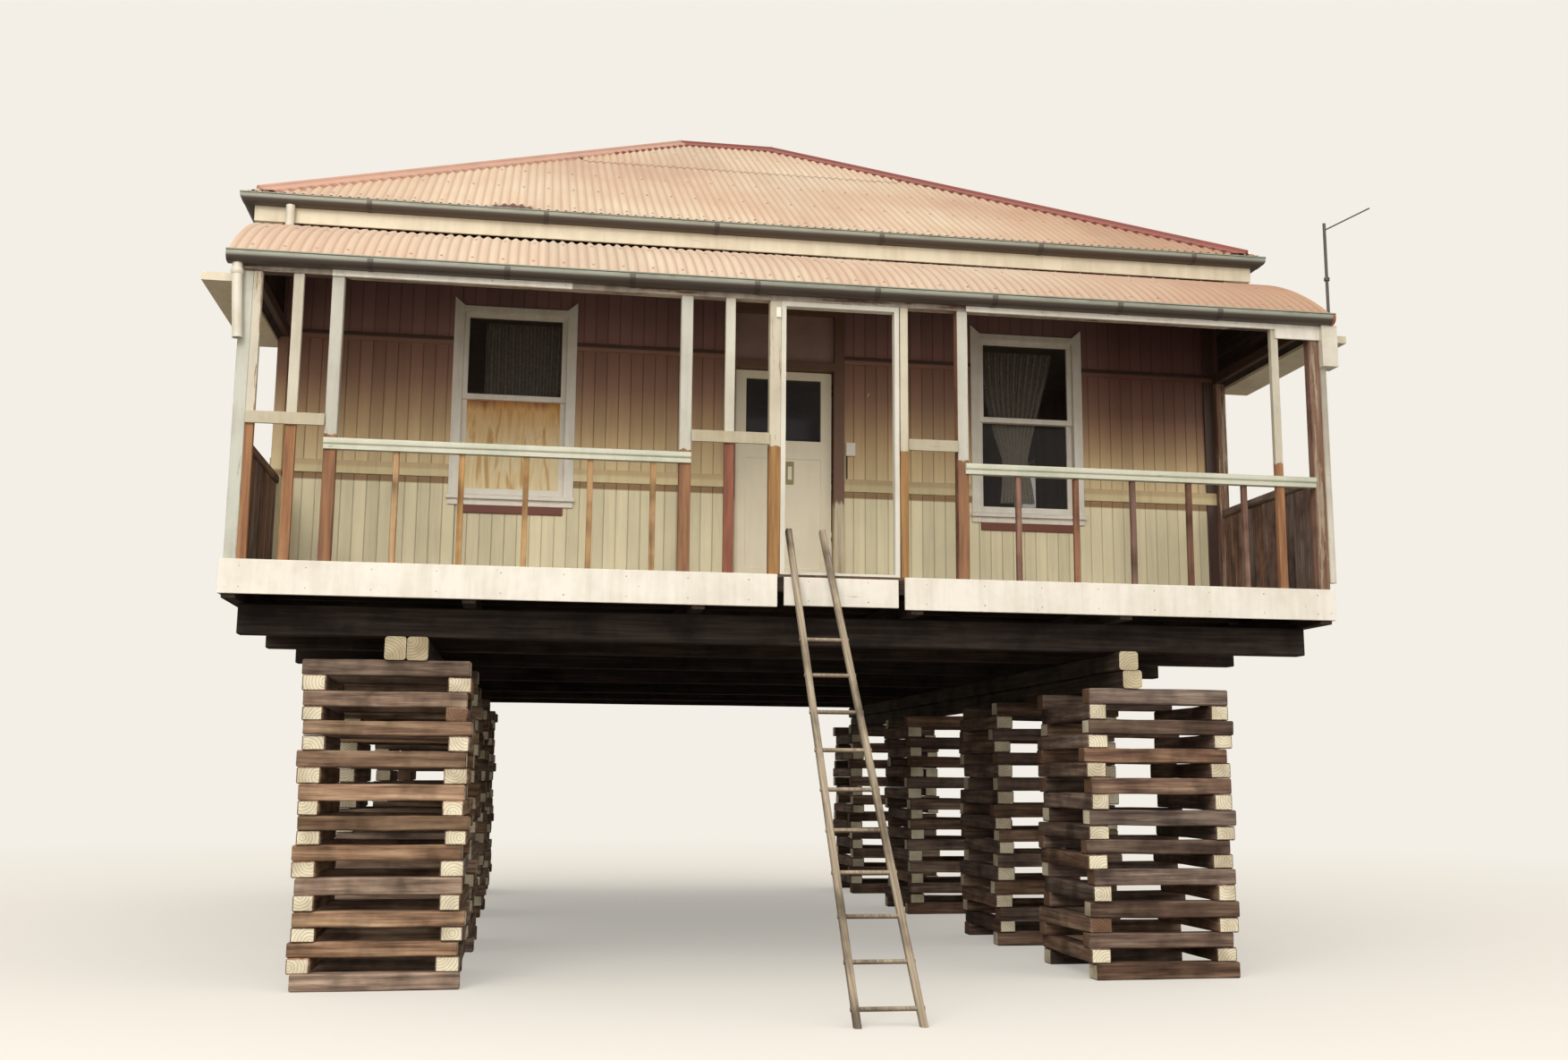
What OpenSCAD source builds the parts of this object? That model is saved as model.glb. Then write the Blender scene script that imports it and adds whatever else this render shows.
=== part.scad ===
// Timber worker's cottage, lifted off its old stumps and standing on timber crib stacks.
// Millimetres, Z up. The verandah front faces -Y and the ground is Z = 0.
// Every module is written in the house's own coordinates, with X = 0 at the left corner of
// the front and Y = 0 on the front plane, and place() moves it to the middle of the whole.

/* [House] */
// Width of the house across the front
house_w = 8530; // [8200:10:9200]
// Depth of the closed rooms behind the front wall
core_d = 7460; // [7200:10:8000]
// Depth of each verandah
verandah_d = 1830; // [1760:10:1950]
// Height of the floor above the ground
floor_h = 3050; // [2900:10:3300]
// Height of the walls above the floor
wall_h = 3140; // [3100:10:3300]
// Thickness of the framed and boarded walls
wall_t = 100; // [80:5:120]

/* [Floor frame] */
// Thickness of the floor boards
floor_t = 22; // [18:1:32]
// Depth of the joists
joist_h = 110; // [100:5:130]
// Thickness of the joists
joist_t = 50; // [38:1:63]
// Number of joists from front to back
joist_n = 25; // [20:1:28]
// Depth of the bearers
bearer_h = 150; // [125:5:175]
// Thickness of the bearers
bearer_t = 100; // [75:5:125]
// Number of bearers
bearer_n = 6; // [4:1:7]
// Depth of the cross timbers under the bearers
header_h = 223; // [200:1:240]
// Thickness of the cross timbers
header_t = 150; // [120:5:180]
// Height of the white boards round the floor edge
edge_board_h = 250; // [220:5:270]
// Thickness of the boards round the floor edge
edge_board_t = 25; // [18:1:32]

/* [Crib stacks] */
// Length of one crib timber
crib_len = 1200; // [1100:10:1300]
// Width of a crib timber
crib_w = 160; // [130:5:180]
// Number of layers in each left stack
left_layers = 21; // [19:2:23]
// Number of layers in each right stack
right_layers = 19; // [17:2:21]
// Distance of the left stacks from the left side
left_crib_x = 563; // [450:1:700]
// Distance of the right stacks from the left side
right_crib_x = 6565; // [6400:1:6700]
// Height of the lifting beams on the left stacks
left_beam_h = 175; // [150:1:200]
// Height of each of the two stacked lifting beams on the right
right_beam_h = 147.5; // [130:0.5:160]
// Width of a lifting beam
beam_w = 156; // [130:1:160]
// How far the ends of the crib timbers wander
crib_jog = 22; // [0:1:30]

/* [Main roof] */
// Overhang of the eave board past the walls
eave_out = 230; // [180:5:240]
// Height of the eave board above the floor, at its lower edge
eave_z = 3105; // [3095:5:3115]
// Height of the roof above the floor at its lower edge
roof_z = 3350; // [3330:5:3400]
// Height of the ridge above the floor
ridge_z = 5770; // [5500:10:6000]
// How far the sheets reach past the eave board
sheet_out = 60; // [40:1:70]
// Thickness of the roof skin with its battens
roof_t = 45; // [30:1:60]
// Thickness of the eave boards
eave_board_t = 22; // [18:1:30]
// Radius of the roll along the ridge and hip cappings
cap_r = 28; // [20:1:40]
// Width of a capping's wing on each side
cap_wing = 150; // [120:5:200]
// Thickness of a capping's wings
cap_t = 12; // [8:1:20]

/* [Gutters] */
// Width of the gutters
gutter_w = 110; // [90:1:125]
// Height of the gutters
gutter_h = 88; // [75:1:95]
// Thickness of the gutter metal
gutter_t = 5; // [4:0.5:8]
// Radius of the gutters' round belly
belly_r = 54; // [30:1:60]
// Radius of the bead along the gutters' front edge
bead_r = 8; // [6:0.5:10]

/* [Verandah] */
// Height of the top plate above the floor, at its underside
plate_z = 2150; // [2100:5:2200]
// Depth of the top plate
plate_h = 90; // [75:5:100]
// Section of the verandah posts
post_t = 90; // [80:1:100]
// Height of the verandah roof above the floor at its front edge
vroof_z = 2290; // [2280:1:2330]
// Height of the verandah roof above the floor where it meets the wall
vroof_top = 3070; // [3040:1:3075]
// Thickness of the verandah roof skin
vroof_t = 20; // [14:1:26]
// How much the verandah roof bulges above its straight chord
vroof_bulge = 140; // [0:5:150]
// Height of the handrails above the floor, at their underside
rail_z = 830; // [780:5:880]
// Depth of the handrails
rail_h = 85; // [70:1:95]
// Thickness of the balusters
baluster_t = 42; // [35:1:50]
// Height of the middle rails above the floor, at their underside
mid_z = 1000; // [960:5:1040]
// Depth of the middle rails
mid_h = 90; // [70:1:100]
// Thickness of boards nailed over the frame
trim_t = 22; // [16:1:28]
// How far the flat hoods reach past the verandah ends
hood_out = 300; // [200:5:340]
// Thickness of the flat hoods
hood_t = 60; // [45:1:75]

/* [Windows] */
// Clear width of a window between its linings
window_w = 890; // [800:5:950]
// Clear height of a window
window_h = 1616; // [1400:5:1700]
// Height of a window's sill above the floor
window_z = 862; // [800:1:950]
// Middle of the left front window
window_left_x = 1984; // [1800:1:2100]
// Middle of the right front window
window_right_x = 6620; // [6500:1:6800]
// Width of the casing boards round a window
casing_w = 85; // [70:1:100]
// Width of a sash's stiles and top rail
stile_w = 44; // [38:1:55]
// Thickness of a sash
sash_t = 38; // [32:1:42]
// Thickness of window glass
glass_t = 4; // [3:0.5:6]

/* [Front door] */
// Left edge of the door leaf from the left side
leaf_x = 3932; // [3900:1:3960]
// Width of the door leaf
leaf_w = 874; // [820:1:900]
// Height of the top of the leaf above the floor
leaf_top = 2093; // [2030:1:2110]
// Thickness of the leaf
leaf_t = 40; // [35:1:45]
// Clearance under the leaf above the threshold
leaf_gap = 8; // [6:1:12]
// Width of the door posts
jamb_w = 90; // [70:1:100]
// Clearance of the leaf at its hinge side and at its lock side
leaf_side = 13; // [10:1:16]
// Height of the fanlight's panel
fanlight_h = 435; // [350:5:450]

/* [Ladder] */
// Slope of the ladder from level
ladder_deg = 61; // [58:1:68]
// Distance between rungs along the ladder
rung_step = 308; // [280:1:330]
// Thickness of a ladder rail
ladder_rail = 48; // [40:1:55]
// Diameter of a rung
rung_d = 30; // [25:1:36]

/* [Hidden] */

// overall places
total_d = core_d + 2 * verandah_d;
wall_y0 = verandah_d;
wall_y1 = verandah_d + core_d;
mid_y = total_d / 2;
fz = floor_h;

// floor frame levels, from the top down
joist_top = fz - floor_t;
joist_z = joist_top - joist_h;
bearer_z = joist_z - bearer_h;
header_z = bearer_z - header_h;
left_crib_top = header_z - left_beam_h;
right_crib_top = header_z - 2 * right_beam_h;
crib_inset = 300;
crib_uneven = 9;
crib_w_uneven = 14;
crib_turn = 1.2;
crib_row_gap = 2450;
crib_rows = [crib_inset, crib_inset + crib_row_gap, mid_y + crib_row_gap / 4.4,
    total_d - crib_inset - crib_len - crib_w - 110];
header_in = 60;
header_inset = 350;
header_steps = [0, 1300, 3000];
header_rows = concat([for (s = header_steps) header_inset + s], [mid_y - header_t / 2],
    [for (s = header_steps) total_d - header_inset - header_t - s]);

// ladder: it leans on the door bay's board, and its rails spread towards the foot
bay_drop = 20;
ladder_w = 60;
ladder_head = 420;
ladder_top_y = -edge_board_t;
ladder_lean_z = fz - bay_drop;
ladder_len = ladder_lean_z / sin(ladder_deg);
ladder_foot_y = ladder_top_y - ladder_lean_z / tan(ladder_deg) - ladder_w / sin(ladder_deg);
ladder_xs = [4144, 4425];
ladder_leans = [2.0, 4.35];
ladder_round = 15;
ladder_spare = 300;
rung_end = 6;
rung_first = 590;
rung_n = floor((ladder_len - rung_first - 60) / rung_step) + 1;

// aerial mast
mast_out = 187;
mast_x = house_w + mast_out;
mast_y = 150;
mast_d = 26;
mast_h = 1000;
arm_len = 480;
arm_deg = 28;
arm_d = 12;
mast_collars = [90, 495];
mast_stay_z = 70;
stay_w = 30;
stay_t = 6;
stay_deg = 72;

// the whole's extent, for the middle of its base
gutter_out = eave_out + gutter_w;
x_min = -gutter_out;
x_max = mast_x + arm_len * cos(arm_deg) + arm_d / 2 * sin(arm_deg);
vgutter_out = trim_t + gutter_w;
y_min = ladder_foot_y;
y_max = total_d + vgutter_out;
ox = -(x_min + x_max) / 2;
oy = -(y_min + y_max) / 2;

module place() {
    translate([ox, oy, 0])
        children();
}

// a box between two corners
module bx(x0, x1, y0, y1, z0, z1) {
    translate([x0, y0, z0])
        cube([x1 - x0, y1 - y0, z1 - z0]);
}

// its children, and the same again behind the house
module both_fronts() {
    children();
    translate([0, total_d, 0])
        mirror([0, 1, 0])
            children();
}

// its children, and the same again on the other side
module both_sides() {
    children();
    translate([house_w, 0, 0])
        mirror([1, 0, 0])
            children();
}

// roof

roof_x0 = -eave_out - sheet_out;
roof_x1 = house_w + eave_out + sheet_out;
roof_y0 = wall_y0 - eave_out - sheet_out;
roof_y1 = wall_y1 + eave_out + sheet_out;
roof_rise = ridge_z - roof_z;
roof_run = (roof_y1 - roof_y0) / 2;
roof_slope = roof_rise / roof_run;
cap_end = 110;

// solid under the hip roof's surface, dropped by d
module hip_solid(d) {
    half_x = (roof_x1 - roof_x0) / 2;
    intersection() {
        translate([roof_x0, 0, fz + roof_z - d])
            rotate([90, 0, 90])
                linear_extrude(roof_x1 - roof_x0)
                    polygon([[roof_y0, 0], [roof_y1, 0], [(roof_y0 + roof_y1) / 2, roof_rise]]);
        translate([0, roof_y1, fz + roof_z - d])
            rotate([90, 0, 0])
                linear_extrude(roof_y1 - roof_y0)
                    polygon([[roof_x0, 0], [roof_x1, 0], [(roof_x0 + roof_x1) / 2, half_x * roof_slope]]);
    }
}

module main_roof() {
    color("#c99a86")
        place()
            difference() {
                hip_solid(0);
                hip_solid(roof_t);
            }
}

// the roll along the top of a capping, from one point to another and a little past it
module cap_roll(a, b) {
    v = b - a;
    l = norm(v);
    translate(a)
        rotate([0, acos(v[2] / l), atan2(v[1], v[0])])
            cylinder(r = cap_r, h = l + cap_r / 2, $fn = 40);
}

// plan of the cappings: a strip along the ridge and one along each hip
module cap_plan() {
    strip = roof_run * sqrt(2) - cap_end;
    translate([roof_x0 + roof_run, mid_y - cap_wing])
        square([roof_x1 - roof_x0 - 2 * roof_run, 2 * cap_wing]);
    for (s = [0, 1])
        translate([s == 0 ? roof_x0 + roof_run : roof_x1 - roof_run, mid_y])
            for (d = [-1, 1])
                rotate(s == 0 ? 180 + d * 45 : d * 45)
                    translate([-cap_wing * 0.4, -cap_wing])
                        square([strip + cap_wing * 0.4, 2 * cap_wing]);
}

module roof_capping() {
    zc = fz + roof_z;
    ra = [roof_x0 + roof_run, mid_y, fz + ridge_z];
    rb = [roof_x1 - roof_run, mid_y, fz + ridge_z];
    inset = cap_end / sqrt(2);
    zi = zc + inset * roof_slope;
    color("#8e4a44")
        place()
            difference() {
                union() {
                    intersection() {
                        hip_solid(-cap_t);
                        translate([0, 0, zc])
                            linear_extrude(ridge_z)
                                cap_plan();
                    }
                    cap_roll(ra, rb);
                    for (y = [roof_y0 + inset, roof_y1 - inset]) {
                        cap_roll([roof_x0 + inset, y, zi], ra);
                        cap_roll([roof_x1 - inset, y, zi], rb);
                    }
                }
                hip_solid(0);
            }
}

// ring round the house at distance a to b outside the walls
module eave_ring(a, b, z0, z1) {
    difference() {
        bx(-b, house_w + b, wall_y0 - b, wall_y1 + b, z0, z1);
        bx(-a, house_w + a, wall_y0 - a, wall_y1 + a, z0 - 1, z1 + 1);
    }
}

main_gutter_z = fz + roof_z - 25 - gutter_h;

// outline of a gutter's outside: X is the distance from its back, with a round belly in front
module gutter_outside(w, h, r) {
    intersection() {
        square([w, h]);
        union() {
            square([w - r, h]);
            translate([0, r])
                square([w, h]);
            translate([w - r, r])
                circle(r = r, $fn = 96);
        }
    }
}

module gutter_outline() {
    face_w = gutter_w - bead_r / 2;
    difference() {
        gutter_outside(face_w, gutter_h, belly_r);
        translate([gutter_t, gutter_t])
            gutter_outside(face_w - 2 * gutter_t, gutter_h, belly_r - gutter_t);
    }
    translate([gutter_w - bead_r, gutter_h - bead_r])
        circle(r = bead_r, $fn = 32);
}

mitre_lap = 1;

// sweeps an outline round the closed rooms with mitred corners
// the outline's X is the distance outside the walls, and its Y the height above z0
module round_the_eaves(z0, z1, reach) {
    for (side = [0:3]) {
        l = side % 2 == 0 ? house_w : core_d;
        d = side % 2 == 0 ? core_d : house_w;
        lap = side % 2 == 0 ? mitre_lap : 0;
        translate([house_w / 2, mid_y, z0])
            rotate(side * 90)
                intersection() {
                    translate([-l / 2 - reach, -d / 2, 0])
                        rotate([90, 0, 90])
                            linear_extrude(l + 2 * reach)
                                mirror([1, 0])
                                    children();
                    linear_extrude(z1 - z0)
                        polygon([
                            [-l / 2 - reach - lap, -d / 2 - reach], [l / 2 + reach + lap, -d / 2 - reach],
                            [l / 2 + lap, -d / 2], [-l / 2 - lap, -d / 2]]);
                }
    }
}

module main_gutter() {
    color("#7f8f86")
        place()
            round_the_eaves(main_gutter_z, main_gutter_z + gutter_h, gutter_out + gutter_w)
                translate([eave_out, 0])
                    gutter_outline();
}

apron_flash_w = 150;
apron_flash_t = 6;

// with the apron flashings that cover the verandah roofs' top edges
module eave_boards() {
    color("#e3dcc2")
        place() {
            difference() {
                eave_ring(eave_out - eave_board_t, eave_out, fz + eave_z, fz + roof_z + 10);
                difference() {
                    hip_solid(0);
                    hip_solid(roof_t);
                }
            }
            both_fronts()
                across(0, house_w)
                    vroof_slice(-apron_flash_t, 0, verandah_d - apron_flash_w, verandah_d);
            both_sides()
                bx(-eave_out + eave_board_t, 0, wall_y0 - eave_out + eave_board_t,
                    wall_y1 + eave_out - eave_board_t, fz + eave_z + 5, fz + eave_z + 20);
        }
}

// verandah roof: a curved shell; y is the distance behind the front plane

// its sheets are rolled to one radius, worked out from the chord and the bulge above it
vroof_y0 = -70;
vroof_chord = [verandah_d - vroof_y0, vroof_top - vroof_z];
vroof_r = (pow(norm(vroof_chord) / 2, 2) + pow(vroof_bulge, 2)) / (2 * vroof_bulge);
vroof_tilt = atan2(vroof_chord[1], vroof_chord[0]);
vroof_c = [vroof_y0, vroof_z] + vroof_chord / 2
    - (vroof_r - vroof_bulge) * [-sin(vroof_tilt), cos(vroof_tilt)];

function vroof_at(y) = vroof_c[1] + sqrt(pow(vroof_r, 2) - pow(y - vroof_c[0], 2));

// the shell between two depths below the verandah roof's surface
module vroof_slice(d0, d1, y0, y1) {
    intersection() {
        translate(vroof_c)
            difference() {
                circle(r = vroof_r - d0, $fn = 360);
                circle(r = vroof_r - d1, $fn = 360);
            }
        translate([y0, vroof_z - d1 * 2])
            square([y1 - y0, vroof_top - vroof_z + d1 * 2 + vroof_bulge]);
    }
}

// the slice laid across the house from x0 to x1
module across(x0, x1) {
    translate([x0, 0, fz])
        rotate([90, 0, 90])
            linear_extrude(x1 - x0)
                children();
}

vroof_side = 90;
rafter_h = 95;
rafter_t = 45;
rafter_n = 10;

module verandah_roofs() {
    color("#c99a86")
        place()
            both_fronts()
                across(-vroof_side, house_w + vroof_side)
                    vroof_slice(0, vroof_t, vroof_y0, verandah_d);
}

module verandah_rafters() {
    step = (house_w - 2 * trim_t - rafter_t) / (rafter_n - 1);
    color("#4a362b")
        place()
            both_fronts()
                for (i = [0:rafter_n - 1])
                    across(trim_t + i * step, trim_t + i * step + rafter_t)
                        difference() {
                            vroof_slice(vroof_t, vroof_t + rafter_h, 0, verandah_d);
                            square([post_t, plate_z + plate_h]);
                        }
}

vgutter_z = fz + vroof_z - 15 - gutter_h;

module verandah_gutters() {
    x0 = -vroof_side - gutter_t;
    x1 = house_w + vroof_side + gutter_t;
    color("#7f8f86")
        place()
            both_fronts()
                translate([0, -vgutter_out + gutter_w, vgutter_z])
                    rotate([90, 0, 90]) {
                        translate([0, 0, x0])
                            linear_extrude(x1 - x0)
                                mirror([1, 0])
                                    gutter_outline();
                        for (x = [x0, x1 - gutter_t])
                            translate([0, 0, x])
                                linear_extrude(gutter_t)
                                    mirror([1, 0])
                                        gutter_outside(gutter_w - bead_r / 2, gutter_h, belly_r);
                    }
}

pipe_r = 37;
collar_x = 135;
collar_h = 345;

module downpipes() {
    left_len = 1400;
    left_tilt = 3.4;
    stub_x = 70;
    stub_y = wall_y0 - eave_out - gutter_w / 2;
    color("#e8e4d6")
        place() {
            // cut-off pipe at the left corner, hanging out of plumb from its elbow
            translate([-22, -pipe_r - 10, vgutter_z - 60])
                sphere(r = pipe_r + 9, $fn = 40);
            translate([-22, -pipe_r - 10, vgutter_z - 60])
                cylinder(r = pipe_r, h = 60, $fn = 40);
            translate([-22, -pipe_r - 10, vgutter_z - 60])
                rotate([0, 180 - left_tilt, 0])
                    cylinder(r = pipe_r, h = left_len - 60, $fn = 40);
            // pipe at the right corner, below its wide collar
            translate([house_w + pipe_r, pipe_r + 6, fz + 60])
                cylinder(r = pipe_r, h = vgutter_z - collar_h - fz - 60, $fn = 40);
            bx(house_w, house_w + collar_x, -60, post_t, vgutter_z - collar_h, vgutter_z);
            // short pipe from the main gutter to the verandah roof
            difference() {
                translate([stub_x, stub_y, fz + vroof_z])
                    cylinder(r = pipe_r, h = main_gutter_z - fz - vroof_z, $fn = 40);
                across(-vroof_side - 1, stub_x + 2 * pipe_r)
                    translate(vroof_c)
                        circle(r = vroof_r, $fn = 360);
            }
        }
}

// walls

wall_top = fz + wall_h;
lining_t = 20;
hole_w = window_w + 2 * lining_t;
hole_z0 = fz + window_z - lining_t;
hole_z1 = fz + window_z + window_h + lining_t;
jamb_x0 = leaf_x - leaf_side - jamb_w;
jamb_x1 = leaf_x + leaf_w + leaf_side + jamb_w;
transom_z = fz + leaf_top + 7;
transom_h = 75;
fan_z0 = transom_z + transom_h;
fan_z1 = fan_z0 + fanlight_h;
head_h = 90;
door_hole_top = fan_z1 + head_h;
side_window_in = 1900;
side_windows = [wall_y0 + side_window_in, wall_y1 - side_window_in];

// a hole for a window in a front wall, centred on x
module window_hole(x) {
    bx(x - hole_w / 2, x + hole_w / 2, -50, wall_t + 50, hole_z0, hole_z1);
}

module front_walls() {
    color("#c3b489")
        place()
            translate([0, wall_y0, 0]) {
                difference() {
                    bx(0, jamb_x0, 0, wall_t, fz, wall_top);
                    window_hole(window_left_x);
                }
                difference() {
                    bx(jamb_x1, house_w, 0, wall_t, fz, wall_top);
                    window_hole(window_right_x);
                }
            }
}

module front_wall_over_door() {
    color("#c3b489")
        place()
            bx(jamb_x0, jamb_x1, wall_y0, wall_y0 + wall_t, door_hole_top, wall_top);
}

// turns a wall piece drawn along X, so that it runs along Y on the left side
module on_left_side() {
    translate([0, 0, 0])
        rotate([0, 0, 90])
            mirror([0, 1, 0])
                children();
}

module side_walls() {
    color("#c3b489")
        place()
            both_sides()
                on_left_side()
                    difference() {
                        bx(wall_y0 + wall_t, wall_y1 - wall_t, 0, wall_t, fz, wall_top);
                        for (s = side_windows)
                            window_hole(s);
                    }
}

module rear_wall() {
    color("#c3b489")
        place()
            translate([0, wall_y1 - wall_t, 0])
                difference() {
                    bx(0, house_w, 0, wall_t, fz, wall_top);
                    window_hole(window_left_x);
                    window_hole(window_right_x);
                }
}

ceiling_t = 22;

module ceiling() {
    color("#d9d2ba")
        place()
            bx(wall_t, house_w - wall_t, wall_y0 + wall_t, wall_y1 - wall_t,
                wall_top - ceiling_t, wall_top);
}

belt_w = 70;
belt_high = 2170;
belt_low = 1000;
belt_low_w = 112;
casing_out = window_w / 2 + casing_w;

// a belt from place to place: it starts and stops at each pair, round windows and door
module belt(pairs, z0, z1) {
    for (s = pairs)
        bx(s[0], s[1], -trim_t, 0, z0, z1);
}

// the belt rails of all four walls
module house_belts(z0, z1) {
    left = window_left_x;
    right = window_right_x;
    out = casing_out;
    translate([0, wall_y0, 0])
        belt([[post_t, left - out], [left + out, jamb_x0], [jamb_x1, right - out],
            [right + out, house_w - post_t]], z0, z1);
    translate([0, wall_y1, 0])
        mirror([0, 1, 0])
            belt([[post_t, left - out], [left + out, right - out], [right + out, house_w - post_t]],
                z0, z1);
    both_sides()
        on_left_side()
            belt([[wall_y0, side_windows[0] - out], [side_windows[0] + out, side_windows[1] - out],
                [side_windows[1] + out, wall_y1]], z0, z1);
}

under_sill_h = 70;
under_sill_t = 18;

// with the brown mouldings under the windows
module wall_belts() {
    foot = fz + window_z - sill_t - apron_h;
    color("#b3a277")
        place() {
            at_windows()
                bx(-window_w / 2, window_w / 2, -under_sill_t, 0, foot - under_sill_h, foot);
            house_belts(fz + belt_low, fz + belt_low + belt_low_w);
            house_belts(fz + belt_high, fz + belt_high + belt_w);
        }
}

// windows, drawn in a front wall whose outer face is Y = 0, centred on X = 0

sill_out = 50;
sill_t = 45;
sill_fall = 14;
sill_horn = 12;
apron_h = 50;
head_casing = 52;
casing_tip = 74;

// an outline in the wall's plane, standing out from the wall by t
module stands_out(t) {
    rotate([90, 0, 0])
        linear_extrude(t)
            children();
}

// the side casings run up past the head casing and end in slanted tips
module window_frame() {
    z0 = fz + window_z;
    z1 = z0 + window_h;
    hw = window_w / 2;
    foot = z0 - sill_t - apron_h;
    difference() {
        union() {
            bx(-hw - lining_t, hw + lining_t, 0, wall_t, z0 - lining_t, z1 + lining_t);
            stands_out(trim_t)
                for (s = [0, 1])
                    mirror([s, 0])
                        polygon([[hw, foot], [hw + casing_w, foot],
                            [hw + casing_w, z1 + head_casing + casing_tip], [hw, z1 + head_casing]]);
            bx(-hw, hw, -trim_t + 5, 0, z1, z1 + head_casing);
            bx(-hw, hw, -trim_t + 5, 0, foot, z0 - sill_t);
            translate([-hw - casing_w - sill_horn, 0, z0])
                rotate([90, 0, 90])
                    linear_extrude(window_w + 2 * casing_w + 2 * sill_horn)
                        polygon([[0, 0], [-sill_out, -sill_fall], [-sill_out, -sill_t], [0, -sill_t]]);
        }
        bx(-hw, hw, -sill_out - 10, wall_t + 10, z0, z1);
    }
}

meet_z = 866;
meet_h = 48;
upper_y = 20;
lower_y = upper_y + sash_t + 2;
bottom_rail = 65;

// a sash between two levels, with its rails
module sash(y, z0, z1, low_rail, top_rail) {
    hw = window_w / 2;
    difference() {
        bx(-hw, hw, y, y + sash_t, z0, z1);
        bx(-hw + stile_w, hw - stile_w, y - 1, y + sash_t + 1, z0 + low_rail, z1 - top_rail);
    }
}

module window_sash_pair() {
    z0 = fz + window_z;
    z1 = z0 + window_h;
    zm = z0 + meet_z - meet_h / 2;
    sash(upper_y, zm, z1, meet_h, stile_w);
    sash(lower_y, z0, zm + meet_h, bottom_rail, meet_h);
}

module window_panes() {
    z0 = fz + window_z;
    z1 = z0 + window_h;
    zm = z0 + meet_z - meet_h / 2;
    hw = window_w / 2 - stile_w;
    bx(-hw, hw, upper_y + 16, upper_y + 16 + glass_t, zm + meet_h, z1 - stile_w);
    bx(-hw, hw, lower_y + 16, lower_y + 16 + glass_t, z0 + bottom_rail, zm);
}

// its children at every window of the house
module at_windows() {
    for (x = [window_left_x, window_right_x])
        both_fronts()
            translate([x, wall_y0, 0])
                children();
    both_sides()
        for (s = side_windows)
            on_left_side()
                translate([s, 0, 0])
                    children();
}

module window_frames() {
    color("#e9e5d3")
        place()
            at_windows()
                window_frame();
}

module window_sashes() {
    color("#e9e5d3")
        place()
            at_windows()
                window_sash_pair();
}

module window_glass() {
    color("#39424a", 0.5)
        place()
            at_windows()
                window_panes();
}

module boarded_sash() {
    z0 = fz + window_z;
    hw = window_w / 2 - stile_w;
    color("#cfa565")
        place()
            translate([window_left_x, wall_y0, 0])
                bx(-hw, hw, lower_y + 4, lower_y + 14, z0 + bottom_rail,
                    z0 + meet_z - meet_h / 2);
}

// front door

threshold_h = 25;
leaf_y = wall_y0 + 52;
leaf_z0 = fz + threshold_h + leaf_gap;
jamb_out = 25;

module door_frame() {
    color("#6d5240")
        place() {
            for (x = [jamb_x0, jamb_x1 - jamb_w])
                bx(x, x + jamb_w, wall_y0 - jamb_out, wall_y0 + wall_t, fz, door_hole_top);
            bx(jamb_x0 + jamb_w, jamb_x1 - jamb_w, wall_y0 - jamb_out, wall_y0 + wall_t,
                transom_z, transom_z + transom_h);
            bx(jamb_x0 + jamb_w, jamb_x1 - jamb_w, wall_y0 - jamb_out, wall_y0 + wall_t,
                fan_z1, door_hole_top);
            bx(jamb_x0 + jamb_w, jamb_x1 - jamb_w, wall_y0 - jamb_out, wall_y0 + wall_t,
                fz, fz + threshold_h);
        }
}

module fanlight_panel() {
    color("#4b433d")
        place()
            bx(jamb_x0 + jamb_w, jamb_x1 - jamb_w, wall_y0 + 30, wall_y0 + 42, fan_z0, fan_z1);
}

door_light_side = 98;
door_light_top = 75;
door_light_h = 560;

module door_light(y0, y1) {
    z1 = fz + leaf_top - door_light_top;
    bx(leaf_x + door_light_side, leaf_x + leaf_w - door_light_side, y0, y1,
        z1 - door_light_h, z1);
}

// the sunk panel below the lock rail
panel_sunk = 7;
panel_z0 = 308;
panel_z1 = 1290;

module door_panel(y0, y1) {
    bx(leaf_x + door_light_side, leaf_x + leaf_w - door_light_side, y0, y1,
        fz + panel_z0, fz + panel_z1);
}

module door_leaf() {
    color("#e6e3c4")
        place()
            difference() {
                bx(leaf_x, leaf_x + leaf_w, leaf_y, leaf_y + leaf_t, leaf_z0, fz + leaf_top);
                door_light(leaf_y - 1, leaf_y + leaf_t + 1);
                door_panel(leaf_y - 1, leaf_y + panel_sunk);
                door_panel(leaf_y + leaf_t - panel_sunk, leaf_y + leaf_t + 1);
            }
}

module door_glass() {
    color("#2c2f33", 0.6)
        place()
            door_light(leaf_y + leaf_t / 2 - 3, leaf_y + leaf_t / 2 + 3);
}

// butt hinges: the pin stands in the gap beside the leaf, just inside its back face
hinge_gap_x = leaf_x + leaf_w;
hinge_x = hinge_gap_x + 6;
hinge_y = leaf_y + leaf_t + 4;
hinge_r = 6;
pin_r = 3;
hinge_len = 34;
hinge_play = 0.06;
hinge_end = 0.2;
flap_t = 2.5;
flap_w = 34;
hinge_ends = [230, 200];
hinge_middle = 1080;
hinge_zs = [fz + hinge_ends[0], fz + hinge_middle, fz + leaf_top - hinge_ends[1]];

// one knuckle with its flap: on the leaf's edge for side -1, on the post for side 1
module knuckle(side, z0, z1) {
    post_face = leaf_x + leaf_w + leaf_side;
    flap_x = side < 0 ? hinge_gap_x : post_face - flap_t;
    translate([hinge_x, hinge_y, z0])
        cylinder(r = hinge_r, h = z1 - z0, $fn = 32);
    bx(flap_x, flap_x + flap_t, hinge_y - flap_w, hinge_y, z0, z1);
}

module hinge_pin(r, z0, z1) {
    translate([hinge_x, hinge_y, z0])
        cylinder(r = r, h = z1 - z0, $fn = 32);
}

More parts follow.
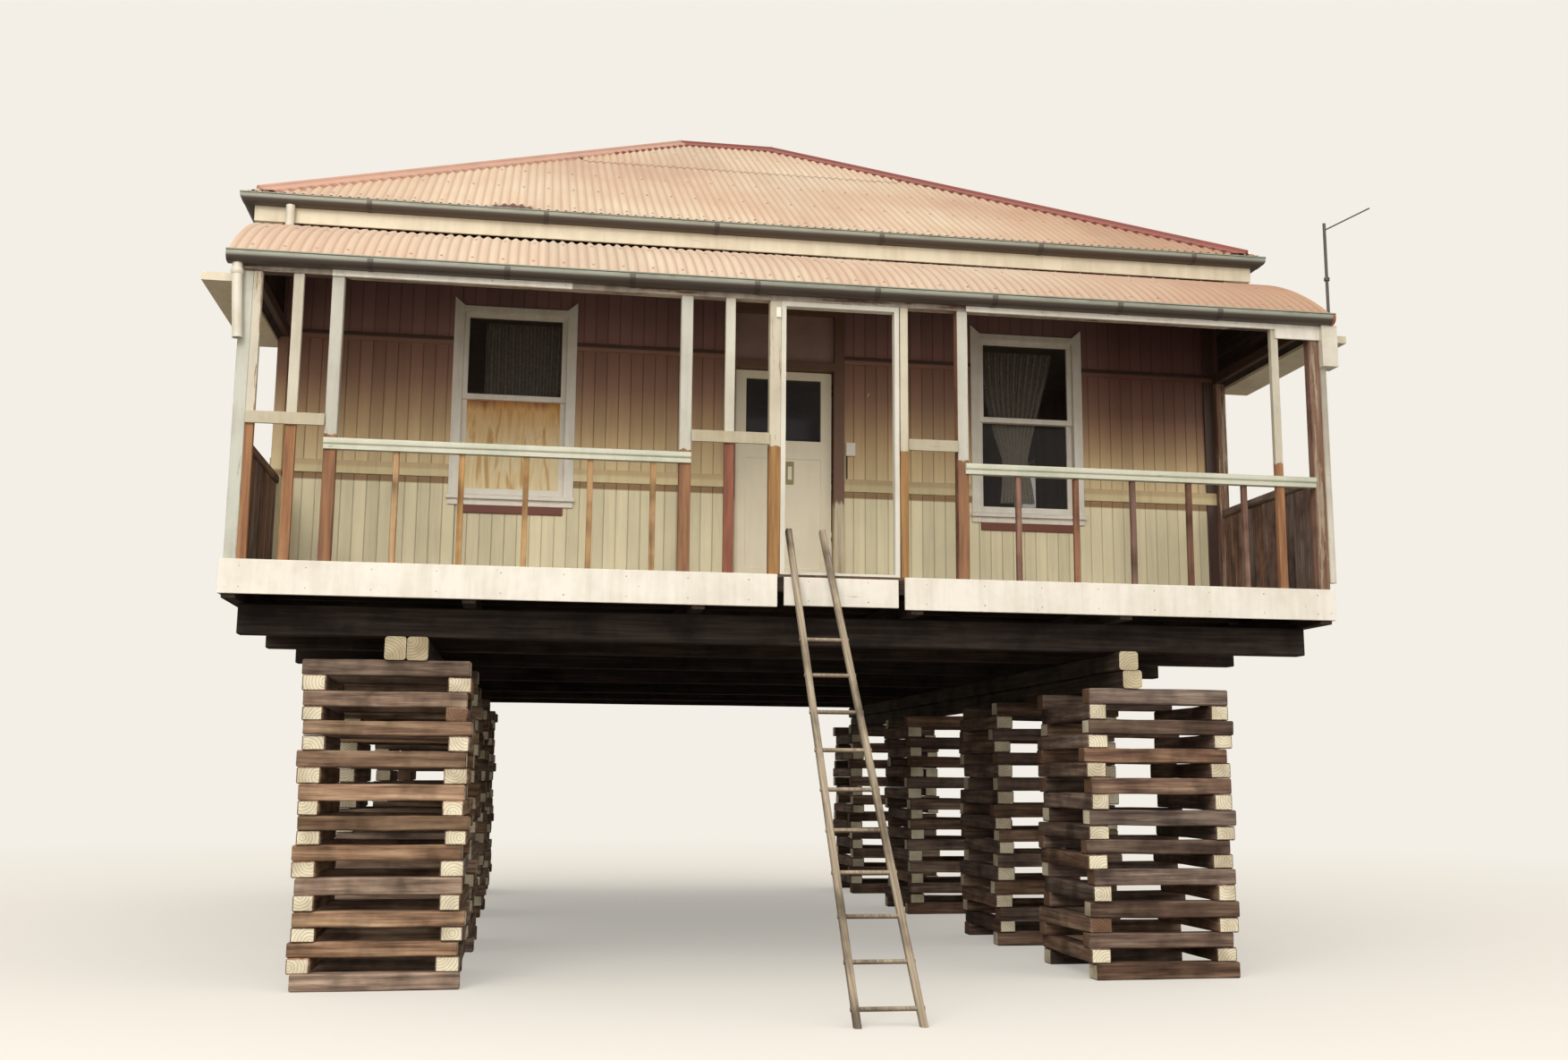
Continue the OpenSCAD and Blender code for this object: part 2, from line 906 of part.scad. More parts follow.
module door_hinges() {
    color("#4d4640")
        place()
            for (z = hinge_zs) {
                knuckle(1, z, z + hinge_len);
                knuckle(1, z + 2 * hinge_len, z + 3 * hinge_len);
                hinge_pin(pin_r, z, z + 3 * hinge_len);
            }
}

// letter plate, lock and knobs on the leaf
plate_w = 42;
plate_h0 = 1046;
letter_plate_h = 219;
plate_x = leaf_x + leaf_w / 2;
lock_z = plate_h0 + letter_plate_h + 104;
knob_z = 1010;
knob_in = 45;

module door_furniture() {
    color("#8a7a5a")
        place() {
            for (z = hinge_zs)
                difference() {
                    knuckle(-1, z + hinge_len + hinge_end, z + 2 * hinge_len - hinge_end);
                    hinge_pin(pin_r + hinge_play, z, z + 3 * hinge_len);
                }
            bx(plate_x - plate_w / 2, plate_x + plate_w / 2, leaf_y - 3, leaf_y + panel_sunk,
                fz + plate_h0, fz + plate_h0 + letter_plate_h);
            translate([plate_x - 4, leaf_y, fz + lock_z])
                rotate([90, 0, 0])
                    cylinder(r = 18, h = 9, $fn = 32);
            for (s = [0, 1])
                translate([leaf_x + knob_in, leaf_y + s * leaf_t, fz + knob_z])
                    mirror([0, s, 0])
                        rotate([90, 0, 0]) {
                            cylinder(r = 26, h = 6, $fn = 32);
                            cylinder(r = 10, h = 40, $fn = 32);
                            translate([0, 0, 46])
                                sphere(r = 24, $fn = 40);
                        }
        }
}

// floor

module house_floor() {
    color("#8a6a4a")
        place()
            bx(0, house_w, wall_y0, wall_y1, fz - floor_t, fz);
}

module verandah_floors() {
    color("#9a8468")
        place()
            both_fronts()
                bx(0, house_w, 0, wall_y0, fz - floor_t, fz);
}

module floor_joists() {
    step = (total_d - joist_t) / (joist_n - 1);
    color("#4a372b")
        place()
            for (i = [0:joist_n - 1])
                bx(0, house_w, i * step, i * step + joist_t, joist_z, joist_top);
}

module floor_bearers() {
    step = (house_w - bearer_t) / (bearer_n - 1);
    color("#3f3027")
        place()
            for (i = [0:bearer_n - 1])
                bx(i * step, i * step + bearer_t, 0, total_d, bearer_z, joist_z);
}

module cross_timbers() {
    color("#463429")
        place()
            for (y = header_rows)
                bx(header_in, house_w - header_in, y, y + header_t, header_z, bearer_z);
}

left_beam_x = left_crib_x + crib_len / 2 - 32;
right_beam_x = right_crib_x + crib_len / 4 - 3;
beam_gap = 4;
beam_step = 12;
beam_shift = 32;
beam_round = 24;

// a rectangle with round corners, from the origin
module rounded(w, h, r) {
    translate([r, 0])
        square([w - 2 * r, h]);
    translate([0, r])
        square([w, h - 2 * r]);
    for (x = [r, w - r])
        for (y = [r, h - r])
            translate([x, y])
                circle(r = r, $fn = 32);
}

// a squared log from y0 to y1 with waney corners
module beam(x, y0, y1, z0, z1) {
    translate([x, y1, z0])
        rotate([90, 0, 0])
            linear_extrude(y1 - y0)
                rounded(beam_w, z1 - z0, beam_round);
}

module lifting_beams() {
    y0 = crib_inset - 30;
    y1 = total_d - crib_inset;
    color("#8d7f69")
        place() {
            for (i = [0, 1])
                beam(left_beam_x + i * (beam_w + beam_gap), y0 + i * beam_step, y1, left_crib_top, header_z);
            beam(right_beam_x, y0, y1, right_crib_top, right_crib_top + right_beam_h);
            beam(right_beam_x - beam_shift, y0 - beam_step, y1, right_crib_top + right_beam_h, header_z);
        }
}

// the door bay's own short board, and the gaps beside it
bay_x0 = 4070;
bay_x1 = 4958;
board_x1 = 4018;
board_x2 = 5009;

module edge_boards() {
    z0 = fz - edge_board_h;
    t = edge_board_t;
    color("#e9e6dc")
        place() {
            bx(-t, board_x1, -t, 0, z0, fz);
            bx(bay_x0, bay_x1, -t, 0, z0 + 13, fz - bay_drop);
            bx(board_x2, house_w + t, -t, 0, z0, fz);
            bx(-t, house_w + t, total_d, total_d + t, z0, fz);
            bx(-t, 0, 0, total_d, z0, fz);
            bx(house_w, house_w + t, 0, total_d, z0, fz);
        }
}

// verandah framing

left_post_x = 650;
bay_post_x = 3260;
door_post_x = 3950;
right_post_x = 5443;
frame_x0 = door_post_x + post_t;
frame_out_w = 937;
frame_x1 = frame_x0 + frame_out_w;
frame_w = 38;
post_xs = [0, left_post_x, bay_post_x, door_post_x, right_post_x, house_w - post_t];
stud_w = 75;
stud_t = 50;
left_stud_x = 375;
bay_stud_in = 344;
stud_xs = [left_stud_x, bay_post_x + bay_stud_in];
thin_stud_w = 63;

module verandah_posts() {
    color("#b9b5a4")
        place() {
            both_fronts() {
                for (x = post_xs)
                    bx(x, x + post_t, 0, post_t, fz, fz + plate_z);
                for (x = [0, house_w - post_t])
                    bx(x, x + post_t, wall_y0 - post_t, wall_y0, fz, fz + plate_z);
            }
        }
}

door_stud_x = frame_x1 + 8;
end_stud_in = 423;
end_stud_x = house_w - end_stud_in;

module verandah_studs() {
    color("#9a6a45")
        place()
            both_fronts() {
                for (x = stud_xs)
                    bx(x, x + stud_w, 0, stud_t, fz, fz + plate_z);
                for (x = [post_t, door_stud_x, end_stud_x])
                    bx(x, x + thin_stud_w, 0, stud_t, fz, fz + plate_z);
            }
}

module verandah_plates() {
    z0 = fz + plate_z;
    color("#a39a86")
        place()
            both_fronts() {
                bx(0, house_w, 0, post_t, z0, z0 + plate_h);
                for (x = [0, house_w - post_t])
                    bx(x, x + post_t, post_t, wall_y0, z0, z0 + plate_h);
            }
}

left_board_len = 1770;
end_board_x = end_stud_x + 33;
end_board_drop = 75;

module plate_boards() {
    z0 = fz + plate_z - 8;
    z1 = fz + plate_z + plate_h - 30;
    color("#efece2")
        place() {
            bx(left_post_x, left_post_x + left_board_len, -trim_t, 0, z0, z1);
            bx(right_post_x + post_t - 13, end_board_x, -trim_t, 0, z0, z1);
            bx(end_board_x, house_w, -trim_t, 0, z0 - end_board_drop, z1);
            bx(0, house_w, total_d, total_d + trim_t, z0, z1);
        }
}

rail_front = 30;
rail_back = 55;

// outline of a handrail: a rounded cap over a narrower body
rail_cap = 50;
rail_cap_r = 16;
rail_body_in = 12;
module rail_outline() {
    translate([-rail_front, rail_h - rail_cap])
        rounded(rail_front + rail_back, rail_cap, rail_cap_r);
    translate([-rail_front + rail_body_in, 0])
        square([rail_front + rail_back - rail_body_in * 2, rail_h - rail_cap_r]);
}

// a handrail from one post to the next, let in round them
module handrail(x0, x1, cut0, cut1, cut1_w) {
    z0 = fz + rail_z;
    difference() {
        translate([x0, 0, z0])
            rotate([90, 0, 90])
                linear_extrude(x1 - x0)
                    rail_outline();
        bx(cut0 - 1, cut0 + post_t, 0, rail_back + 1, z0 - 1, z0 + rail_h + 1);
        bx(cut1, cut1 + cut1_w + 1, 0, rail_back + 1, z0 - 1, z0 + rail_h + 1);
    }
}

module handrails() {
    color("#d5d8c6")
        place() {
            both_fronts() {
                handrail(left_post_x, bay_post_x + post_t, left_post_x, bay_post_x, post_t);
                handrail(right_post_x + post_t * 2 / 3, house_w - post_t, right_post_x, end_stud_x,
                    thin_stud_w);
                for (s = [[post_t, left_post_x], [bay_post_x + post_t, door_post_x],
                        [door_stud_x + thin_stud_w, right_post_x]])
                    bx(s[0], s[1], -trim_t, 0, fz + mid_z, fz + mid_z + mid_h);
            }
        }
}

// balusters stand at even steps from the left post of each railed bay
baluster_first = 473;
baluster_step = 473;
left_balusters = floor((bay_post_x - left_post_x - 200) / baluster_step);
right_balusters = floor((end_stud_x - right_post_x - 200) / baluster_step);

module balusters() {
    color("#8a5a3c")
        place()
            both_fronts() {
                for (k = [0:left_balusters - 1]) {
                    x = left_post_x + post_t / 3 + baluster_first + k * baluster_step;
                    bx(x, x + baluster_t, 5, 5 + baluster_t, fz, fz + rail_z);
                }
                for (k = [0:right_balusters - 1]) {
                    x = right_post_x + baluster_first + k * baluster_step;
                    bx(x, x + baluster_t, 5, 5 + baluster_t, fz, fz + rail_z);
                }
            }
}

module empty_door_frame() {
    z1 = fz + plate_z;
    color("#f0ede4")
        place()
            difference() {
                bx(frame_x0, frame_x1, 0, 80, fz, z1);
                bx(frame_x0 + frame_w, frame_x1 - frame_w, -1, 81, fz + 20, z1 - 40);
            }
}

// rail over upright boards, from the corner post to the post at the wall
end_rail_z = 875;
end_rail_h = 75;
end_rail_w = 65;

module end_balustrades() {
    mid_x = post_t / 2;
    color("#6b4433")
        place()
            both_fronts()
                both_sides() {
                    translate([mid_x - end_rail_w / 2, wall_y0 - post_t, fz + end_rail_z])
                        rotate([90, 0, 0])
                            linear_extrude(wall_y0 - 2 * post_t)
                                rounded(end_rail_w, end_rail_h, rail_cap_r);
                    bx(mid_x - trim_t / 2, mid_x + trim_t / 2, post_t, wall_y0 - post_t,
                        fz, fz + end_rail_z);
                }
}

module end_boards() {
    color("#d8d0b6")
        place()
            both_fronts()
                both_sides()
                    across(0, trim_t)
                        intersection() {
                            translate(vroof_c)
                                circle(r = vroof_r - vroof_t, $fn = 360);
                            translate([0, plate_z + plate_h])
                                square([verandah_d, vroof_top]);
                        }
}

module end_hoods() {
    z0 = fz + plate_z - 60;
    color("#d9d4c0")
        place()
            both_fronts()
                both_sides()
                    bx(-hood_out, 0, post_t, verandah_d + 80, z0, z0 + hood_t);
}

// ladder

// its children in the ladder's own frame: Z runs up its slope and Y = 0 is its back face
module on_ladder() {
    translate([0, ladder_top_y, ladder_lean_z])
        rotate([ladder_deg - 90, 0, 0])
            children();
}

function rail_x(i, t) = ladder_xs[i] + t * tan(ladder_leans[i]);

module ladder() {
    color("#a5977c")
        place() {
            intersection() {
                on_ladder()
                    for (i = [0, 1])
                        translate([ladder_xs[i], 0, 0])
                            rotate([0, -ladder_leans[i], 0])
                                translate([-ladder_rail / 2, -ladder_w, -ladder_len - ladder_spare])
                                    linear_extrude(ladder_len + ladder_spare + ladder_head)
                                        rounded(ladder_rail, ladder_w, ladder_round);
                bx(0, house_w, ladder_foot_y - ladder_spare, verandah_d, 0, fz + wall_h);
            }
            on_ladder()
                for (k = [0:rung_n - 1]) {
                    t = rung_first + k * rung_step;
                    x0 = rail_x(0, t) - ladder_rail / 2 - rung_end;
                    x1 = rail_x(1, t) + ladder_rail / 2 + rung_end;
                    translate([x0, -ladder_w / 2, -t])
                        rotate([0, 90, 0])
                            cylinder(d = rung_d, h = x1 - x0, $fn = 24);
                }
        }
}

// aerial mast, standing on the right end hood

module aerial_mast() {
    z0 = fz + plate_z - 60 + hood_t;
    color("#5b564f")
        place()
            translate([mast_x, mast_y, z0]) {
                cylinder(d = mast_d, h = mast_h, $fn = 24);
                for (z = mast_collars)
                    translate([0, 0, z])
                        cylinder(d = mast_d * 1.8, h = mast_d, $fn = 24);
                // stay from the mast's foot to the end of the plate
                translate([house_w - mast_x, -stay_w / 2, mast_stay_z - stay_w])
                    cube([stay_t, stay_w, stay_w]);
                translate([house_w - mast_x + stay_t / 2, 0, mast_stay_z - stay_w / 2])
                    rotate([0, stay_deg, 0])
                        cylinder(d = arm_d, h = (mast_x - house_w) / sin(stay_deg), $fn = 16);
                translate([0, 0, mast_h - 60])
                    rotate([0, 90 - arm_deg, 0])
                        cylinder(d = arm_d, h = arm_len, $fn = 16);
            }
}

// crib stacks: crossed timbers in layers, odd layers along X and even layers along Y

// steady wander between -1 and 1, for ends, widths, turns and levels that differ timber by timber
function wander(i) = sin(i * 137.5);

// level of the underside of layer i
function layer_z(i, top, layers) =
    round(i * top / layers + (i == 0 || i == layers ? 0 : crib_uneven * wander(i * 3 + layers)));

module crib_layers(x0, y0, top, layers, along_x) {
    for (i = [0:layers - 1]) {
        z0 = layer_z(i, top, layers);
        z1 = layer_z(i + 1, top, layers);
        if ((i % 2 == 0) == along_x)
            for (k = [0, 1]) {
                n = 7 * i + 3 * k + x0 / 100 + y0 / 50;
                w = crib_w + crib_w_uneven * wander(n + 5);
                l = crib_len + crib_jog * wander(n + 11);
                off = (2 * k - 1) * (crib_len - crib_w) / 2 + crib_jog / 2 * wander(n + 17);
                j = crib_jog * wander(n);
                middle = [x0 + crib_len / 2, y0 + crib_len / 2, z0];
                translate(middle + (along_x ? [j, off, 0] : [off, j, 0]))
                    rotate(crib_turn * wander(n + 23))
                        translate(along_x ? [-l / 2, -w / 2, 0] : [-w / 2, -l / 2, 0])
                            cube(along_x ? [l, w, z1 - z0] : [w, l, z1 - z0]);
            }
    }
}

module cribs(along_x) {
    for (y = crib_rows) {
        crib_layers(left_crib_x, y, left_crib_top, left_layers, along_x);
        crib_layers(right_crib_x, y, right_crib_top, right_layers, along_x);
    }
}

module crib_lengthwise() {
    color("#5e4a3e")
        place()
            cribs(true);
}

module crib_crosswise() {
    color("#75604f")
        place()
            cribs(false);
}

main_roof();
roof_capping();
main_gutter();
eave_boards();
verandah_roofs();
verandah_rafters();
verandah_gutters();
downpipes();
front_walls();
front_wall_over_door();
side_walls();
rear_wall();
ceiling();
wall_belts();
window_frames();
window_sashes();
window_glass();
boarded_sash();
door_frame();
door_hinges();
fanlight_panel();
door_leaf();
door_glass();
door_furniture();
house_floor();
verandah_floors();
floor_joists();
floor_bearers();
cross_timbers();
lifting_beams();
edge_boards();
verandah_posts();
verandah_studs();
verandah_plates();
plate_boards();
handrails();
balusters();
empty_door_frame();
end_balustrades();
end_boards();
end_hoods();
ladder();
aerial_mast();
crib_lengthwise();
crib_crosswise();
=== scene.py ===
"""Looks of a timber cottage that stands on stacks of crossed timbers.

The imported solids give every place. Boards, corrugated sheets, curtains, nails and
brackets are modelled here, and every surface gets a procedural finish.
"""
import logging
import math
import random
from dataclasses import dataclass, field, replace
from enum import Enum
from typing import Any, Callable, Optional, Sequence

import bmesh
import bpy
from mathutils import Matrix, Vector, noise


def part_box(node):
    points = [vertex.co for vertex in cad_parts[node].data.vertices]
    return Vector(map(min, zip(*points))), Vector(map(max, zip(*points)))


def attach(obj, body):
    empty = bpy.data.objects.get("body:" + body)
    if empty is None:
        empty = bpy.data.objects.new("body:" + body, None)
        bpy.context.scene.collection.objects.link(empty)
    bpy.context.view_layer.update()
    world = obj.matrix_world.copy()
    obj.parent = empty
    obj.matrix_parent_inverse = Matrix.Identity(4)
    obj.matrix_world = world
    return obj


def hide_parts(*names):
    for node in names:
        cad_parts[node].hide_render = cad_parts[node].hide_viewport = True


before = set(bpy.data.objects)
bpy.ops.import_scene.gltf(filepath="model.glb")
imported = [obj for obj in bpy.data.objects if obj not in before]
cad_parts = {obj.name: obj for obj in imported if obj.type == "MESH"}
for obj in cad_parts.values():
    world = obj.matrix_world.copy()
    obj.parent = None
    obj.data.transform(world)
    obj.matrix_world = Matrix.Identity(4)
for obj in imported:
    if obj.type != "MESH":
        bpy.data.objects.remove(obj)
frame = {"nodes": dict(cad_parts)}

LOG = logging.getLogger("cottage")
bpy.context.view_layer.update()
NODES = frame["nodes"]
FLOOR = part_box("verandah_floors")[1].z      # height of the floor's top
POST = 0.09                                 # width of a verandah post
WINDOWS = (1.984, 6.62)                     # middles of the front windows, right of the left corner
X_DIR, Y_DIR, UP = Vector((1, 0, 0)), Vector((0, 1, 0)), Vector((0, 0, 1))
AXES = (X_DIR, Y_DIR, UP)
BLEND = {"data_type": "RGBA"}                                 # settings that many finishes share
DARKEN = {"data_type": "RGBA", "blend_type": "MULTIPLY"}
TIMES = {"operation": "MULTIPLY"}
TIMES_PLUS = {"operation": "MULTIPLY_ADD"}
Place = Callable[[float, float, float], Vector]     # turns width, length and height on a surface into a point
Edge = Callable[[float], float]                     # gives an edge's place up a slope for a place across
Sides = tuple[float, float, float, float]           # left, right, foot and top


# small helpers

def srgb(text: str) -> tuple[float, float, float, float]:
    """Turn an sRGB hex value into linear colour.

    Args:
        text: Colour such as "#c3b489".

    Returns:
        Linear red, green and blue, and 1 for alpha.
    """
    parts = [int(text[i:i + 2], 16) / 255 for i in (1, 3, 5)]
    r, g, b = [p / 12.92 if p <= 0.04045 else ((p + 0.055) / 1.055) ** 2.4 for p in parts]
    return (r, g, b, 1.0)


def add(tree: bpy.types.NodeTree, kind: str, settings: Optional[dict[str, Any]] = None,
        inputs: Optional[dict[Any, Any]] = None) -> bpy.types.Node:
    """Add one node with its settings and its inputs.

    Args:
        tree: Node tree that gets the node.
        kind: Node type without its "ShaderNode" start.
        settings: Properties of the node; "ramp" gives a colour ramp's stops.
        inputs: Socket name or index, and a value, an output, or a node for its first output in use.

    Returns:
        The new node.
    """
    node = tree.nodes.new("ShaderNode" + kind)
    for name, value in (settings or {}).items():
        if name == "ramp":
            stops = node.color_ramp.elements
            while len(stops) > 1:
                stops.remove(stops[-1])
            for i, (place, colour) in enumerate(value):
                stop = stops[0] if i == 0 else stops.new(place)
                stop.position = place
                stop.color = srgb(colour)
        else:
            setattr(node, name, value)
    for key, value in (inputs or {}).items():
        if isinstance(value, bpy.types.Node):
            value = next(output for output in value.outputs if output.enabled)
        if isinstance(value, bpy.types.NodeSocket):
            tree.links.new(value, node.inputs[key])
        else:
            node.inputs[key].default_value = value
    return node


@dataclass(frozen=True)
class House:
    """The cottage's main lines in the frame, in metres."""

    x0: float
    x1: float
    y0: float
    y1: float
    wall0: float
    wall1: float
    floor: float

    @classmethod
    def from_frame(cls) -> "House":
        """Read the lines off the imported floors.

        Returns:
            The house's lines.
        """
        lo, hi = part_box("verandah_floors")
        wall_lo, wall_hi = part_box("house_floor")
        return cls(lo.x, hi.x, lo.y, hi.y, wall_lo.y, wall_hi.y, hi.z)

    @property
    def width(self) -> float:
        """Width across the front."""
        return self.x1 - self.x0

    @property
    def depth(self) -> float:
        """Depth from the front plane to the rear plane."""
        return self.y1 - self.y0

    @property
    def verandah(self) -> float:
        """Depth of a verandah."""
        return self.wall0 - self.y0

    @property
    def end_bays(self) -> tuple[tuple[float, float], tuple[float, float]]:
        """Where the bays between the posts at the verandahs' ends start and stop."""
        return ((POST, self.verandah - POST), (self.depth - self.verandah + POST, self.depth - POST))

    def at(self, x: float, y: float, z: float) -> Vector:
        """Give the frame's point for a place in the house.

        Args:
            x: Metres right of the front's left corner.
            y: Metres behind the front plane.
            z: Metres above the floor.

        Returns:
            The point in the frame.
        """
        return Vector((self.x0 + x, self.y0 + y, self.floor + z))


# finishes

@dataclass(frozen=True)
class Finish:
    """A procedural material; each kind fills in its own nodes."""

    name: str

    def make(self) -> bpy.types.Material:
        """Make the material once and give it again after that.

        Returns:
            The Blender material.
        """
        found = bpy.data.materials.get(self.name)
        if found:
            return found
        mat = bpy.data.materials.new(self.name)
        mat.use_nodes = True
        tree = mat.node_tree
        tree.nodes.clear()
        add(tree, "OutputMaterial", {}, {0: add(tree, "BsdfPrincipled", {}, self.fill(tree))})
        return mat

    def fill(self, tree: bpy.types.NodeTree) -> dict[str, Any]:
        """Add the finish's nodes.

        Args:
            tree: The material's node tree.

        Returns:
            Inputs of its principled shader.
        """
        raise NotImplementedError


@dataclass(frozen=True)
class SawnTimber(Finish):
    """Rough-sawn hardwood, weathered: streaks run with each timber's grain.

    The grain attribute follows each timber's length, tone shifts timber by timber,
    and end marks cut ends, brown or, where fresh, pale.
    """

    dark: str = "#4a3a30"
    base: str = "#6b564a"
    light: str = "#8a7461"
    end_dark: str = "#6b5646"
    end_pale: str = "#cbbb98"
    streak: float = 0.03      # width of a streak; real fibres of 1 mm are too fine to show
    length: float = 0.7
    spread: float = 0.35      # how far the tone shifts from timber to timber
    silver: float = 0.3       # how grey the greyest timbers have gone
    roughness: float = 0.88
    relief: float = 0.004

    def fill(self, tree: bpy.types.NodeTree) -> dict[str, Any]:
        """Add streaks, stains, tone shift, cut ends and relief."""
        grain, tone, end, fresh = (add(tree, "Attribute", {"attribute_name": layer})
                                   for layer in ("grain", "tone", "end", "fresh"))
        run = add(tree, "VectorMath", TIMES,
                  {0: grain.outputs["Vector"], 1: (1 / self.length, 1 / self.streak, 1 / self.streak)})
        fibres = add(tree, "TexNoise", {}, {"Vector": run, "Scale": 1.0, "Detail": 5.0, "Roughness": 0.62})
        wood = add(tree, "ValToRGB", {"ramp": [(0.30, self.dark), (0.50, self.base), (0.72, self.light)]},
                   {0: fibres})
        patches = add(tree, "TexNoise", {},
                      {"Vector": grain.outputs["Vector"], "Scale": 2.6, "Detail": 3.0, "Roughness": 0.6})
        stain = add(tree, "ValToRGB", {"ramp": [(0.32, "#8f8a86"), (0.55, "#ffffff")]}, {0: patches})
        stained = add(tree, "Mix", DARKEN, {0: 0.8, 6: wood, 7: stain})
        bright = add(tree, "MapRange", {},
                     {0: tone.outputs["Fac"], 1: 0.0, 2: 1.0, 3: 1 - self.spread, 4: 1 + self.spread})
        turn = add(tree, "Math", TIMES, {0: tone.outputs["Fac"], 1: 7.3})
        own = add(tree, "Math", {"operation": "FRACT"}, {0: turn})
        less = add(tree, "MapRange", {}, {0: own, 3: 1.0, 4: 1 - self.silver})
        toned = add(tree, "HueSaturation", {}, {"Color": stained, "Value": bright, "Saturation": less})
        across = add(tree, "VectorMath", TIMES, {0: grain.outputs["Vector"], 1: (0.05, 1.0, 1.0)})
        rings = add(tree, "TexWave", {"wave_type": "RINGS", "rings_direction": "X"},
                    {"Vector": across, "Scale": 14.0, "Distortion": 3.0, "Detail": 2.0})
        cut = add(tree, "Mix", BLEND,
                  {0: fresh.outputs["Fac"], 6: srgb(self.end_dark), 7: srgb(self.end_pale)})
        ringed = add(tree, "Mix", DARKEN, {0: 0.28, 6: cut, 7: rings})
        blotch = add(tree, "ValToRGB", {"ramp": [(0.35, "#a09080"), (0.6, "#ffffff")]}, {0: patches})
        end_colour = add(tree, "Mix", DARKEN, {0: 0.6, 6: ringed, 7: blotch})
        both = add(tree, "Mix", BLEND, {0: end.outputs["Fac"], 6: toned, 7: end_colour})
        bump = add(tree, "Bump", {}, {"Strength": 0.7, "Distance": self.relief, "Height": fibres})
        return {"Base Color": both, "Normal": bump, "Roughness": self.roughness, "Specular IOR Level": 0.25}


@dataclass(frozen=True)
class PaintedTimber(Finish):
    """Oil paint brushed on timber, aged outdoors: grime in streaks, flakes down to bare wood.

    Below bare_to the paint is gone, and between bare_to and bare_from it breaks up.
    Heights are metres above the floor.
    """

    paint: str = "#e9dfcd"
    grime: str = "#a89c86"
    bare: str = "#7d5a42"
    bare_dark: str = "#5c3f2e"
    wear: float = 0.12        # share of the surface that has flaked
    soil: float = 0.35        # how strong the grime is
    bare_from: Optional[float] = None
    bare_to: Optional[float] = None
    roughness: float = 0.55

    def fill(self, tree: bpy.types.NodeTree) -> dict[str, Any]:
        """Add paint, grime, flakes and the bare part."""
        place = add(tree, "TexCoord")
        grain = add(tree, "Attribute", {"attribute_name": "grain"})
        tone = add(tree, "Attribute", {"attribute_name": "tone"})
        run = add(tree, "VectorMath", TIMES, {0: grain.outputs["Vector"], 1: (1.6, 28.0, 28.0)})
        fibres = add(tree, "TexNoise", {}, {"Vector": run, "Scale": 1.0, "Detail": 5.0, "Roughness": 0.62})
        wood = add(tree, "ValToRGB", {"ramp": [(0.35, self.bare_dark), (0.62, self.bare)]}, {0: fibres})
        clouds = add(tree, "TexNoise", {},
                     {"Vector": place.outputs["Object"], "Scale": 1.7, "Detail": 4.0, "Roughness": 0.65})
        fall = add(tree, "VectorMath", TIMES, {0: place.outputs["Object"], 1: (13.0, 13.0, 1.4)})
        drips = add(tree, "TexNoise", {}, {"Vector": fall, "Scale": 1.0, "Detail": 4.0, "Roughness": 0.6})
        mixed = add(tree, "Math", TIMES_PLUS, {0: drips, 1: 0.6, 2: clouds})
        dirt = add(tree, "ValToRGB", {"ramp": [(0.70, "#000000"), (1.02, "#ffffff")]}, {0: mixed})
        soiled = add(tree, "Math", TIMES, {0: dirt, 1: self.soil})
        coat = add(tree, "Mix", BLEND, {0: soiled, 6: srgb(self.paint), 7: srgb(self.grime)})
        shift = add(tree, "MapRange", {}, {0: tone.outputs["Fac"], 3: 0.93, 4: 1.07})
        toned = add(tree, "HueSaturation", {}, {"Color": coat, "Value": shift})
        chips = add(tree, "TexNoise", {}, {"Vector": run, "Scale": 0.8, "Detail": 8.0, "Roughness": 0.75})
        lost = add(tree, "MapRange", {}, {0: chips, 1: 0.70 - self.wear, 2: 0.73 - self.wear})
        if self.bare_from is not None:
            apart = add(tree, "SeparateXYZ", {}, {0: place.outputs["Object"]})
            level = add(tree, "MapRange", {}, {0: apart.outputs["Z"], 1: FLOOR + self.bare_from,
                                               2: FLOOR + self.bare_to, 3: 0.0, 4: 1.0})
            ragged = add(tree, "Math", TIMES_PLUS, {0: chips, 1: 1.2, 2: level})
            gone = add(tree, "MapRange", {}, {0: ragged, 1: 1.02, 2: 1.10})
            lost = add(tree, "Math", {"operation": "MAXIMUM"}, {0: lost, 1: gone})
        colour = add(tree, "Mix", BLEND, {0: lost, 6: toned, 7: wood})
        rough = add(tree, "MapRange", {}, {0: lost, 3: self.roughness, 4: 0.9})
        height = add(tree, "Math", TIMES_PLUS, {0: lost, 1: -0.5, 2: fibres})
        bump = add(tree, "Bump", {}, {"Strength": 0.45, "Distance": 0.002, "Height": height})
        return {"Base Color": colour, "Roughness": rough, "Normal": bump}


